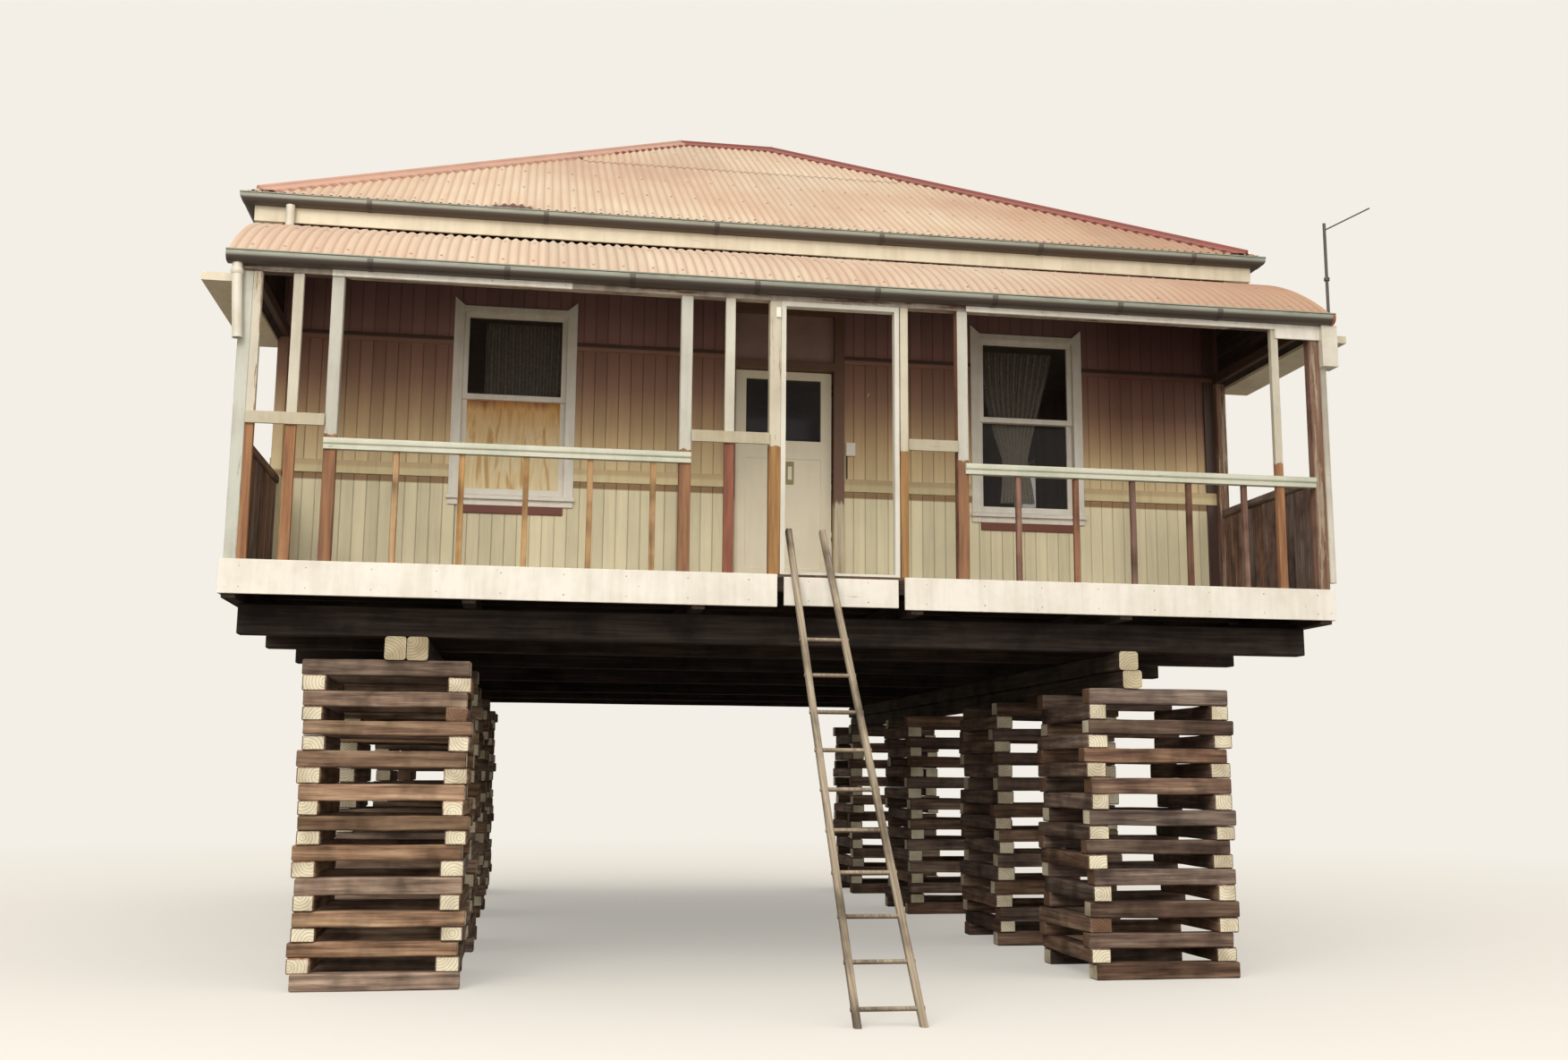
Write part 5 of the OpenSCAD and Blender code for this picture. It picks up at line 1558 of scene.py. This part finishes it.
@dataclass
class VerandahFrames:
    """Posts, studs, plates, rails and balusters, stripped to the frame."""

    house: House
    posts: Finish
    studs: Finish
    plates: Finish
    white: Finish
    rails: Finish
    tan_rails: Finish
    bare: Finish
    red: Finish
    tan_posts: Finish
    red_studs: Finish
    corner: Finish
    tan_corner: Finish
    dull_white: Finish
    wall: Finish
    dark: Finish
    weathered: Finish
    nails: Finish
    upright: float = 0.094    # width of an upright board at the verandah's ends

    def build(self) -> None:
        """Build the verandah frames, each part in the paint that is left on it."""
        made = {}
        for seed, (node, finish, slot, arris) in enumerate((
                ("verandah_posts", self.posts, "worn_paint", 0.005),
                ("verandah_studs", self.studs, "bare_timber", 0.003),
                ("verandah_plates", self.plates, "worn_paint", 0.004),
                ("plate_boards", self.white, "white_paint", 0.002),
                ("handrails", self.rails, "rail_paint", 0.006),
                ("balusters", self.bare, "bare_timber", 0.003),
                ("empty_door_frame", self.dull_white, "white_paint", 0.002))):
            made[node] = Timbers(node, finish, slot, arris=arris, bow=0.002, seed=20 + seed).build()
        h = self.house
        across = lambda c: c.x - h.x0
        depth = lambda c: min(c.y - h.y0, h.y1 - c.y)
        left = lambda c: across(c) < POST + 0.01
        right = lambda c: across(c) > h.width - POST - 0.01
        for node, finish, picked in (
                ("verandah_posts", self.corner, lambda c, n: left(c) or right(c)),
                ("verandah_posts", self.tan_corner, lambda c, n: right(c)),
                # the left corner's wall posts are painted with the wall, its painted shade included
                ("verandah_posts", self.wall, lambda c, n: left(c) and depth(c) > 1.0),
                # faces that have lost their paint, at the right corner and right of the doorway
                ("verandah_posts", self.red, lambda c, n: right(c) and n.x < -0.5 and depth(c) < 1.0),
                ("verandah_posts", self.tan_posts, lambda c, n: 3.9 < across(c) < 4.1),
                ("verandah_posts", self.red, lambda c, n: 5.4 < across(c) < 5.6 and n.x < -0.5),
                # the two studs beside the doorway
                ("verandah_studs", self.red_studs, lambda c, n: 3.4 < across(c) < 3.9),
                ("verandah_studs", self.tan_posts, lambda c, n: 4.9 < across(c) < 5.3),
                # the side plates take the dark brown paint: painted shade
                ("verandah_plates", self.dark, lambda c, n: depth(c) > 0.1),
                # the middle rails lie above the handrails
                ("handrails", self.tan_rails, lambda c, n: c.z > h.floor + 0.98),
                ("balusters", self.red, lambda c, n: across(c) > h.width / 2)):
            recoat(made[node], finish, picked)
        self._ends()
        self._nails()

    def _nails(self) -> None:
        """Nail the boards over the front plate, in two rows."""
        h = self.house
        piece = Piece("plate_board_nails")
        gap, face = 0.55, -0.022
        for x, count in ((0.72, 4), (5.60, 6)):
            for z in (2.17, 2.21):
                nail_row(piece, h.at(x, face, z), X_DIR * gap, count, -Y_DIR)
        piece.done(self.nails, "white_paint", sharp=40)

    def _ends(self) -> None:
        """Split the verandah ends into a rail and upright boards with open joints."""
        h = self.house
        rng = random.Random(71)
        piece = Piece("end_balustrade_boards")
        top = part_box("end_balustrades")[1].z - h.floor
        rail, half, ease, crown = 0.075, 0.0325, 0.012, 0.016     # the rail's height, half width and edges
        ring = [(-half, ease), (-half + ease, 0), (half - ease, 0), (half, ease), (half, rail - crown),
                (half - crown, rail), (-half + crown, rail), (-half, rail - crown)]
        gap, thin, thick, edge = 0.002, 0.009, 0.011, 0.003   # a board's joint, half thicknesses and edges
        for x in (POST / 2, h.width - POST / 2):
            for y0, y1 in h.end_bays:
                rings = [[h.at(x + a, y, top - rail + b) for a, b in ring] for y in (y0, y1)]
                piece.prism(rings, (Y_DIR, X_DIR, UP), rng.random(), rng.uniform(0, 30))
                count = round((y1 - y0) / self.upright)
                wide = (y1 - y0) / count
                for k in range(count):
                    a, b = y0 + k * wide + gap, y0 + (k + 1) * wide - gap
                    off = rng.uniform(-0.0015, 0.0015)
                    plan = [(-thin, a), (thin, a), (thick, a + edge), (thick, b - edge), (thin, b),
                            (-thin, b), (-thick, b - edge), (-thick, a + edge)]
                    rings = [[h.at(x + u + off, v, z) for u, v in plan] for z in (0.0, top - rail + 0.004)]
                    piece.prism(rings, (UP, Y_DIR, X_DIR), rng.random(), rng.uniform(0, 30))
        piece.done(self.weathered, "bare_timber", replaces=["end_balustrades"])


@dataclass
class CribStacks:
    """Stacks of crossed hardwood baulks, rough, chipped and of many browns."""

    left: Finish
    right: Finish

    def build(self) -> None:
        """Build the stacks."""
        for node, pale, seed in (("crib_lengthwise", 0.6, 51), ("crib_crosswise", 0.97, 52)):
            timbers = Timbers(node, self.left, "crib_timber", arris=0.009, bow=0.007, step=0.2, pale=pale,
                              seed=seed).build()
            # the stacks right of the middle take the darker finish: painted shade
            recoat(timbers, self.right, lambda c, n: c.x > 0)


@dataclass
class Fittings:
    """Downpipes, the leaning ladder, the aerial mast, and the box and hook by the door."""

    house: House
    pipe: Finish
    ladder: Finish
    mast: Finish
    box: Finish
    iron: Finish
    broken_at: float = 1.62   # height of the broken pipe's foot above the floor
    lean: float = 3.4         # degrees that the broken pipe leans
    keeper_at: Sides = (3.998, 4.034, 2.013, 2.093)     # sides, foot and top
    switch_at: Sides = (4.923, 5.009, 1.324, 1.445)
    hook_at: tuple[float, float] = (5.127, 1.88)

    def build(self) -> None:
        """Build the fittings."""
        self._switch_box()
        self._block("frame_latch_keeper", self.keeper_at, 0.0,
                    ((0.0, 0.014, 0.0, 0.004), (0.014, 0.020, 0.003, 0.005)))
        self._hook()
        self._downpipes()
        dress("aerial_mast", self.mast)
        Timbers("ladder", self.ladder, "ladder_timber", arris=0.003, seed=61).build()

    def _block(self, name: str, sides: Sides, wall: float,
               layers: Sequence[tuple[float, float, float, float]]) -> None:
        """Fix a white block to an upright face.

        Args:
            name: The piece's name.
            sides: Left, right, foot and top.
            wall: Distance of the face behind the front plane.
            layers: As in rounded_block.
        """
        piece = Piece(name)
        rounded_block(piece, self.house, sides, wall, layers)
        piece.done(self.box, "white_paint", sharp=30)

    def _switch_box(self) -> None:
        """Add the small white box beside the door with its lid, and the conduit below it."""
        wall, x, foot = self.house.verandah, self.switch_at[0], self.switch_at[2]
        self._block("door_switch_box", self.switch_at, wall,
                    ((0.0, 0.030, 0.0, 0.006), (0.030, 0.038, 0.005, 0.008)))
        pipe = Piece("door_conduit")
        tube(pipe, [self.house.at(x + 0.012, wall - 0.008, foot + z) for z in (0.004, -0.1, -0.205)], 0.007)
        pipe.done(self.iron, "hinge_iron", sharp=40)

    def _downpipes(self) -> None:
        """Copy the downpipes, with the broken left one open at its foot and as short as it has become."""
        h = self.house
        piece = Piece("downpipe_runs")
        piece.copy("downpipes")
        bm, end = piece.bm, h.floor + self.broken_at
        left = [v for v in bm.verts if v.co.x < h.x0 + 0.2 and v.co.z < end]
        upwards = Vector((-math.tan(math.radians(self.lean)), 0, 1))
        slide = (end - min(v.co.z for v in left)) * upwards
        for v in left:
            v.co += slide
        skin, hollow = 0.003, 0.1
        for face in [f for f in bm.faces if all(v in left for v in f.verts)]:
            bmesh.ops.inset_region(bm, faces=[face], thickness=skin)
            bmesh.ops.translate(bm, verts=face.verts, vec=Vector((-0.006, 0, hollow)))
        piece.done(self.pipe, "white_pipe", replaces=["downpipes"], sharp=30)

    def _hook(self) -> None:
        """Screw a small bent hook into the wall right of the door."""
        h = self.house
        x, foot = self.hook_at
        piece = Piece("wall_hook")
        reach, bow = 0.03, 0.014
        bend = [(0.004 - reach * t, 0.0) for t in (0.0, 0.5, 1.0)]
        bend += [(-reach - bow * math.sin(a), bow - bow * math.cos(a)) for a in (0.5, 1.0, 1.57, 2.1)]
        tube(piece, [h.at(x, h.verandah + y, foot + z) for y, z in bend], 0.004, 8)
        piece.done(self.box, "white_paint", sharp=40)


@dataclass
class Studio:
    """Pale floor, soft light and the camera at the photograph's viewing angle."""

    house: House
    image_width: int = 1753   # pixels
    focal: float = 1726.65    # pixels
    sensor: float = 36.0      # millimetres
    eye: tuple[float, float, float] = (2.180, -11.459, 1.529)     # from the left corner and the ground
    yaw: float = 9.3626       # degrees to the right, upwards and clockwise
    pitch: float = 9.1095
    roll: float = 0.3978
    aim: tuple[float, float, float] = (0.0, -3.0, 3.5)            # what the lamps point at
    floor_size: float = 150.0
    pale: str = "#f3efe6"

    def build(self) -> None:
        """Build the studio."""
        self._camera()
        self._floor()
        self._world()
        self._lamp("key_light", place=(-8.0, -16.0, 13.0), size=8.0, power=1000.0)
        self._lamp("low_front_light", place=(-3.0, -22.0, 8.0), size=16.0, power=1050.0)
        self._lamp("fill_light", place=(12.0, -14.0, 6.0), size=9.0, power=260.0)
        bpy.context.scene.view_settings.view_transform = "Standard"

    def _camera(self) -> None:
        """Set the camera as it stood for the photograph."""
        data = bpy.data.cameras.new("camera")
        data.sensor_width = self.sensor
        data.lens = self.focal / self.image_width * self.sensor
        data.clip_end = 500.0
        cam = bpy.data.objects.new("camera", data)
        bpy.context.scene.collection.objects.link(cam)
        psi, theta, rho = (math.radians(a) for a in (self.yaw, self.pitch, self.roll))
        d = Vector((math.sin(psi) * math.cos(theta), math.cos(psi) * math.cos(theta), math.sin(theta)))
        r = Vector((math.cos(psi), -math.sin(psi), 0))
        u = r.cross(d)
        x_axis = r * math.cos(rho) + u * math.sin(rho)
        y_axis = -r * math.sin(rho) + u * math.cos(rho)
        m = cam.matrix_world.copy()
        for i in range(3):
            m[i][0], m[i][1], m[i][2] = x_axis[i], y_axis[i], -d[i]
            m[i][3] = (self.house.x0 + self.eye[0], self.house.y0 + self.eye[1], self.eye[2])[i]
        cam.matrix_world = m
        bpy.context.scene.camera = cam

    def _floor(self) -> None:
        """Lay a pale floor that fades into the backdrop far out."""
        mesh = bpy.data.meshes.new("floor")
        size = self.floor_size
        mesh.from_pydata([(-size, -size, 0), (size, -size, 0), (size, size, 0), (-size, size, 0)], [],
                         [(0, 1, 2, 3)])
        obj = bpy.data.objects.new("floor", mesh)
        bpy.context.scene.collection.objects.link(obj)
        mat = bpy.data.materials.new("pale studio floor")
        mat.use_nodes = True
        tree = mat.node_tree
        tree.nodes.clear()
        place = add(tree, "TexCoord")
        far = add(tree, "VectorMath", {"operation": "LENGTH"}, {0: place.outputs["Object"]})
        fade = add(tree, "MapRange", {"interpolation_type": "SMOOTHSTEP"},
                   {0: far, 1: 9.0, 2: 26.0, 3: 0.40, 4: 1.0})
        seen = add(tree, "LightPath")
        both = add(tree, "Math", TIMES, {0: fade, 1: seen.outputs["Is Camera Ray"]})
        tint = add(tree, "Mix", BLEND,
                   {0: seen.outputs["Is Camera Ray"], 6: srgb("#8d8880"), 7: srgb("#e8e4dc")})
        matt = add(tree, "BsdfDiffuse", {}, {"Color": tint})
        glow = add(tree, "Emission", {}, {"Color": srgb(self.pale), "Strength": 1.0})
        mix = add(tree, "MixShader", {}, {0: both, 1: matt, 2: glow})
        add(tree, "OutputMaterial", {}, {0: mix})
        mesh.materials.append(mat)

    def _world(self) -> None:
        """Light from all of the sky, and a pale backdrop for the camera."""
        world = bpy.data.worlds.new("soft sky")
        bpy.context.scene.world = world
        world.use_nodes = True
        tree = world.node_tree
        tree.nodes.clear()
        seen = add(tree, "LightPath")
        first = add(tree, "Math", {"operation": "MAXIMUM"},
                    {0: seen.outputs["Is Camera Ray"], 1: seen.outputs["Is Glossy Ray"]})
        any_ray = add(tree, "Math", {"operation": "MAXIMUM"},
                      {0: first, 1: seen.outputs["Is Transmission Ray"]})
        place = add(tree, "TexCoord")
        apart = add(tree, "SeparateXYZ", {}, {0: place.outputs["Generated"]})
        height = add(tree, "MapRange", {"interpolation_type": "SMOOTHSTEP"},
                     {0: apart.outputs["Z"], 1: -0.05, 2: 0.80, 3: 0.38, 4: 1.15})
        light = add(tree, "Background", {}, {"Color": srgb("#fffaf2"), "Strength": height})
        show = add(tree, "Background", {}, {"Color": srgb(self.pale), "Strength": 1.0})
        mix = add(tree, "MixShader", {}, {0: any_ray, 1: light, 2: show})
        add(tree, "OutputWorld", {}, {0: mix})

    def _lamp(self, name: str, place: tuple[float, float, float], size: float, power: float) -> None:
        """Hang one large soft lamp that points at the house.

        Args:
            name: The lamp's name.
            place: Where it hangs.
            size: Its width.
            power: Its power in watts.
        """
        data = bpy.data.lights.new(name, "AREA")
        data.shape, data.size, data.energy = "DISK", size, power
        data.color = (1.0, 0.97, 0.92)
        lamp = bpy.data.objects.new(name, data)
        bpy.context.scene.collection.objects.link(lamp)
        lamp.location = place
        lamp.rotation_euler = (Vector(self.aim) - Vector(place)).to_track_quat("-Z", "Y").to_euler()


# the whole

def main() -> None:
    """Build the cottage's looks and the studio in order."""
    logging.basicConfig(level=logging.INFO, format="%(message)s")
    house = House.from_frame()
    # galvanised iron under faded red paint: soft chalky salmon, dull sheen on the crests
    iron = RoofIron("faded corrugated iron")
    # the verandahs' iron, under the drip of the main eave: greyer and darker
    low_iron = RoofIron("faded verandah iron", faded="#cdb199", chalk="#d8c9b0", red="#be987f",
                        valley="#ab8f78", worn="#e0c4b6")
    # folded sheet iron in newer red paint: even and a little glossier than the sheets
    capping = PaintedMetal("red painted capping iron", paint="#94493f", grime="#7a5247", rust="#5c3328",
                           wear=0.03)
    # the same paint on the left hips, bleached to pink
    faded = PaintedMetal("bleached capping iron", paint="#cb9f8b", grime="#ad8471", rust="#6b3a2c", wear=0.04,
                         roughness=0.65)
    # rolled gutter iron in grey-green paint: soft highlights on the lip, painted shade on the sole
    gutter = PaintedMetal("grey-green painted gutter iron", paint="#9da191", grime="#453833", wear=0.05,
                          sole=0.95)
    # soldered laps where the paint has gone: darker bands round the gutters, with the same painted shade on
    # the sole
    joint = PaintedMetal("dark soldered gutter laps", paint="#6c665a", grime="#3a312c", rust="#5c4438",
                         wear=0.06, sole=0.95)
    # caps of the gutters' ends, rusted through their paint
    caps = PaintedMetal("rusty gutter ends", paint="#a45f47", grime="#7c4634", rust="#6b3626", wear=0.15,
                        roughness=0.7)
    # lead-headed nails: small dull grey domes
    lead = PaintedMetal("lead nail heads", paint="#b9a695", grime="#85705f", rust="#7a4a34", wear=0.12,
                        roughness=0.6)
    # oil paint on planed pine: cream, chalky
    cream = PaintedTimber("cream painted boards", paint="#e6dcc3", grime="#a8977a", wear=0.03)
    # oil paint on planed hardwood: white, dirty in clouds
    white = PaintedTimber("white painted timber", paint="#f3eee3", grime="#b7aa92", wear=0.04)
    # the same paint where rain and hands reach it
    dull_white = PaintedTimber("dull white painted timber", paint="#d9d5c9", grime="#a1967f", wear=0.05)
    # thin paint that ends where the rails met the posts: pale grey above, brown timber below
    posts = PaintedTimber("worn post paint", paint="#c6c3b7", grime="#8b8574", bare="#9a7050",
                          bare_dark="#76533e", wear=0.06, bare_from=0.97, bare_to=0.90)
    # the left corner post, greyer and flaking
    corner = PaintedTimber("grey corner post paint", paint="#bfc0b4", grime="#8e8574", bare="#a69a86",
                           bare_dark="#7c7060", wear=0.12, soil=0.5)
    # the right corner post, most of its paint gone
    tan_corner = PaintedTimber("worn right corner post paint", paint="#a8977f", grime="#7d6a58",
                               bare="#8a6b58", bare_dark="#654838", wear=0.24, soil=0.6)
    # the same paint on the studs: creamier, its edge a little higher
    studs = PaintedTimber("worn stud paint", paint="#d2cbb8", grime="#8e8168", bare="#a67a55",
                          bare_dark="#83593d", wear=0.10, bare_from=1.06, bare_to=0.98)
    # by the doorway: one post worn to yellow-tan timber, one stud to red
    tan_posts = PaintedTimber("worn doorway post paint", paint="#cdc4ae", grime="#8f8569", bare="#ab8252",
                              bare_dark="#87623c", wear=0.12, bare_from=1.02, bare_to=0.96)
    red_studs = PaintedTimber("worn doorway stud paint", paint="#cbc7b8", grime="#8e8168", bare="#955e4a",
                              bare_dark="#744636", wear=0.08, bare_from=1.04, bare_to=0.98)
    # thick oil paint on the handrails: even, pale green-white
    rails = PaintedTimber("pale green-white rail paint", paint="#cbccba", grime="#9aa089", wear=0.05,
                          soil=0.4)
    # the middle rails, thin and yellowed
    tan_rails = PaintedTimber("worn middle rail paint", paint="#bab098", grime="#93825f", bare="#9a7050",
                              bare_dark="#7c573c", wear=0.07, soil=0.5)
    # the top plate in the eave's shade: sooty, with flakes down to brown wood
    plates = PaintedTimber("flaking plate paint", paint="#bdb0a2", grime="#75655e", bare="#8a6a55",
                           bare_dark="#5f473a", wear=0.16, soil=0.8)
    # brown oil paint, darkened to near black as painted shade
    shade = PaintedTimber("dark brown timber in painted shade", paint="#4f3a31", grime="#38291f", bare="#6e5140",
                          bare_dark="#4a3529", wear=0.05)
    # bare planed hardwood: warm brown, streaked
    bare = SawnTimber("bare tan hardwood", dark="#8f6740", base="#b98e5a", light="#cca672",
                      end_dark="#8a6240", spread=0.12, streak=0.02)
    # the same hardwood, darker and redder
    red = SawnTimber("bare red-brown hardwood", dark="#62402f", base="#895f49", light="#a0755c",
                     end_dark="#6d4a38", spread=0.15, streak=0.02)
    # bare boards left in the weather at the verandah's ends: dark grey-brown
    weathered = SawnTimber("weathered end boards", dark="#54382b", base="#7d5c4a", light="#97755e",
                           end_dark="#6a5040", spread=0.25, silver=0.5, streak=0.03)
    # brown above the lock's height and cream below, broken up like worn paint: the brown is painted shade and
    # the cream painted light
    brown = PaintedTimber("door posts in painted shade and light", paint="#7b5b48", grime="#5b4436", bare="#e4d8bc",
                          bare_dark="#bdab8c", wear=0.02, bare_from=1.05, bare_to=0.70)
    # cream paint below the low belt, brown above it; the dark band just under the low belt is a painted
    # shadow, and the darkening towards the roof is painted shade
    wall = WallPaint("cream painted wall boards", bands=(
        (0.0, "#efe5c0"), (0.942, "#efe5c0"), (0.948, "#9d7d58"), (0.996, "#9d7d58"), (1.002, "#e8d6a8"),
        (1.35, "#dcbf90"), (1.62, "#c09c77"), (1.85, "#a37d66"), (2.16, "#976d5e"), (2.32, "#9a716a"),
        (2.62, "#8c6866"), (3.2, "#7b605f")))
    # the same two paints on the side walls, which no verandah roof has shaded: even, and rain-streaked
    outer = WallPaint("weathered side wall boards", painted_shade="#ffffff", bands=(
        (0.0, "#ded3ad"), (0.942, "#ded3ad"), (0.948, "#a5855f"), (1.112, "#a5855f"), (1.118, "#b9a07a"),
        (2.2, "#b1956f"), (3.2, "#a2876a")))
    # the same paints on the belts, and red-brown on the mouldings under the sills; the darkening towards the
    # roof is painted shade, and the high belt's dark top a painted shadow
    belts = WallPaint("belt paint", bands=(
        (0.0, "#7b4637"), (0.90, "#7b4637"), (0.91, "#e0d0a2"), (1.058, "#e0d0a2"), (1.066, "#d0b78c"),
        (1.6, "#c0a27a"), (1.9, "#9a7260"), (2.20, "#9a7260"), (2.206, "#513a31"), (3.2, "#513a31")))
    # drawn glass: the dark room shows through it, with a sharp sheen
    glass = WindowGlass("old window glass")
    # the same glass in the door's shade: hardly any sheen
    door_glass = WindowGlass("dark door glass", tint="#504f55", sheen=0.12)
    # rotary-cut plywood, new and unpainted: pale, with wavy streaks
    plywood = Plywood("peeled plywood", top=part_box("boarded_sash")[1].z)
    # machine-woven cotton: white threads and open cells
    lace = Lace("cotton lace net")
    # fresh cream oil paint: smooth and clean
    leaf = PaintedTimber("cream door paint", paint="#fff5db", grime="#dccfae", wear=0.02, soil=0.2)
    # hardboard under brown paint: flat and dull
    panel = PaintedMetal("dark fanlight board", paint="#a78a7e", grime="#7b645a", wear=0.0, roughness=0.8)
    # turned brass, tarnished: brown-gold with soft highlights
    brass = PaintedMetal("dulled brass", paint="#8a7a55", grime="#5b5038", wear=0.05, metallic=0.9,
                         roughness=0.45)
    # cast letter plate, its paint worn to green-brown metal
    plate = PaintedMetal("worn letter plate", paint="#aaa075", grime="#857c58", rust="#6d6447", wear=0.12,
                         metallic=0.3, roughness=0.6)
    # black iron, oxidised: dark with a faint gleam
    dull_iron = PaintedMetal("dull iron", paint="#4a443e", grime="#332f2b", wear=0.1, metallic=0.7)
    # steel nails painted over, rust bleeding round the heads
    rusty = PaintedMetal("painted-over nail heads", paint="#cfc2ac", grime="#9a8468", rust="#7b4a32",
                         wear=0.2, roughness=0.7)
    # pressed steel box in white enamel
    box = PaintedMetal("white enamelled box", paint="#fbf6ea", grime="#d0c5ac", wear=0.02)
    # sheet-iron pipe in white gloss paint: dusty in clouds
    pipe = PaintedMetal("white pipe", paint="#e2dccd", grime="#a99e88", wear=0.05, roughness=0.45)
    # galvanised tube gone dark, rusted at its foot
    mast = PaintedMetal("weathered mast tube", paint="#5a5550", grime="#3d3a36", rust="#84493a", wear=0.1,
                        metallic=0.4, rust_below=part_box("aerial_mast")[0].z + 0.16)
    # rough-sawn hardwood, near black-brown: dark old timber darkened further with painted shade, for the
    # timbers under the floor and the verandah roofs
    dark = SawnTimber("floor frame timber in painted shade", dark="#2a211c", base="#3d3029", light="#54453a",
                      end_dark="#4a3b30", spread=0.25)
    # planed floor boards, trodden grey-brown
    boards = SawnTimber("worn floor boards", dark="#75604a", base="#937c61", light="#a9947a",
                        end_dark="#6d5a46", spread=0.15, streak=0.02)
    # squared hardwood beams with freshly cut pale ends; their near-black sides are painted shade
    beams = SawnTimber("lifting beams in painted shade", dark="#30261d", base="#463a2e", light="#5c4e3e",
                       end_dark="#a38d6b", end_pale="#e6d8b6", spread=0.12)
    # split and sawn hardwood: rough, tan to brown, with near-white cut ends
    baulks = SawnTimber("rough hardwood baulks", dark="#553e31", base="#92735a", light="#bb9e7e",
                        end_dark="#8c6d56", end_pale="#fff5d8", spread=0.38, silver=0.35, streak=0.035,
                        relief=0.008)
    # the right stacks, darker: painted shade
    shaded_baulks = replace(baulks, name="hardwood baulks in painted shade", dark="#47342a", base="#765a48",
                         light="#a0856b")
    # dressed hardwood left outdoors: grey-tan and fine-grained
    ladder = SawnTimber("weathered ladder timber", dark="#7d6d58", base="#a29076", light="#bfae92",
                        end_dark="#8d7b62", spread=0.1, streak=0.015)
    Studio(house).build()
    MainRoof(house, iron, capping, faded, gutter, cream, lead, joint).build()
    VerandahRoofs(house, low_iron, gutter, dark, cream, lead, joint, caps).build()
    Walls(house, wall, outer, belts, cream, shade).build()
    Windows(house, white, glass, plywood, lace).build()
    FrontDoor(house, brown, leaf, panel, door_glass, brass, dull_iron, plate).build()
    Floors(house, boards, dark, beams, white, rusty).build()
    VerandahFrames(house, posts, studs, plates, white, rails, tan_rails, bare, red, tan_posts,
                   red_studs, corner, tan_corner, dull_white, wall, shade, weathered, rusty).build()
    Fittings(house, pipe, ladder, mast, box, dull_iron).build()
    CribStacks(baulks, shaded_baulks).build()


if __name__ == "__main__":
    main()
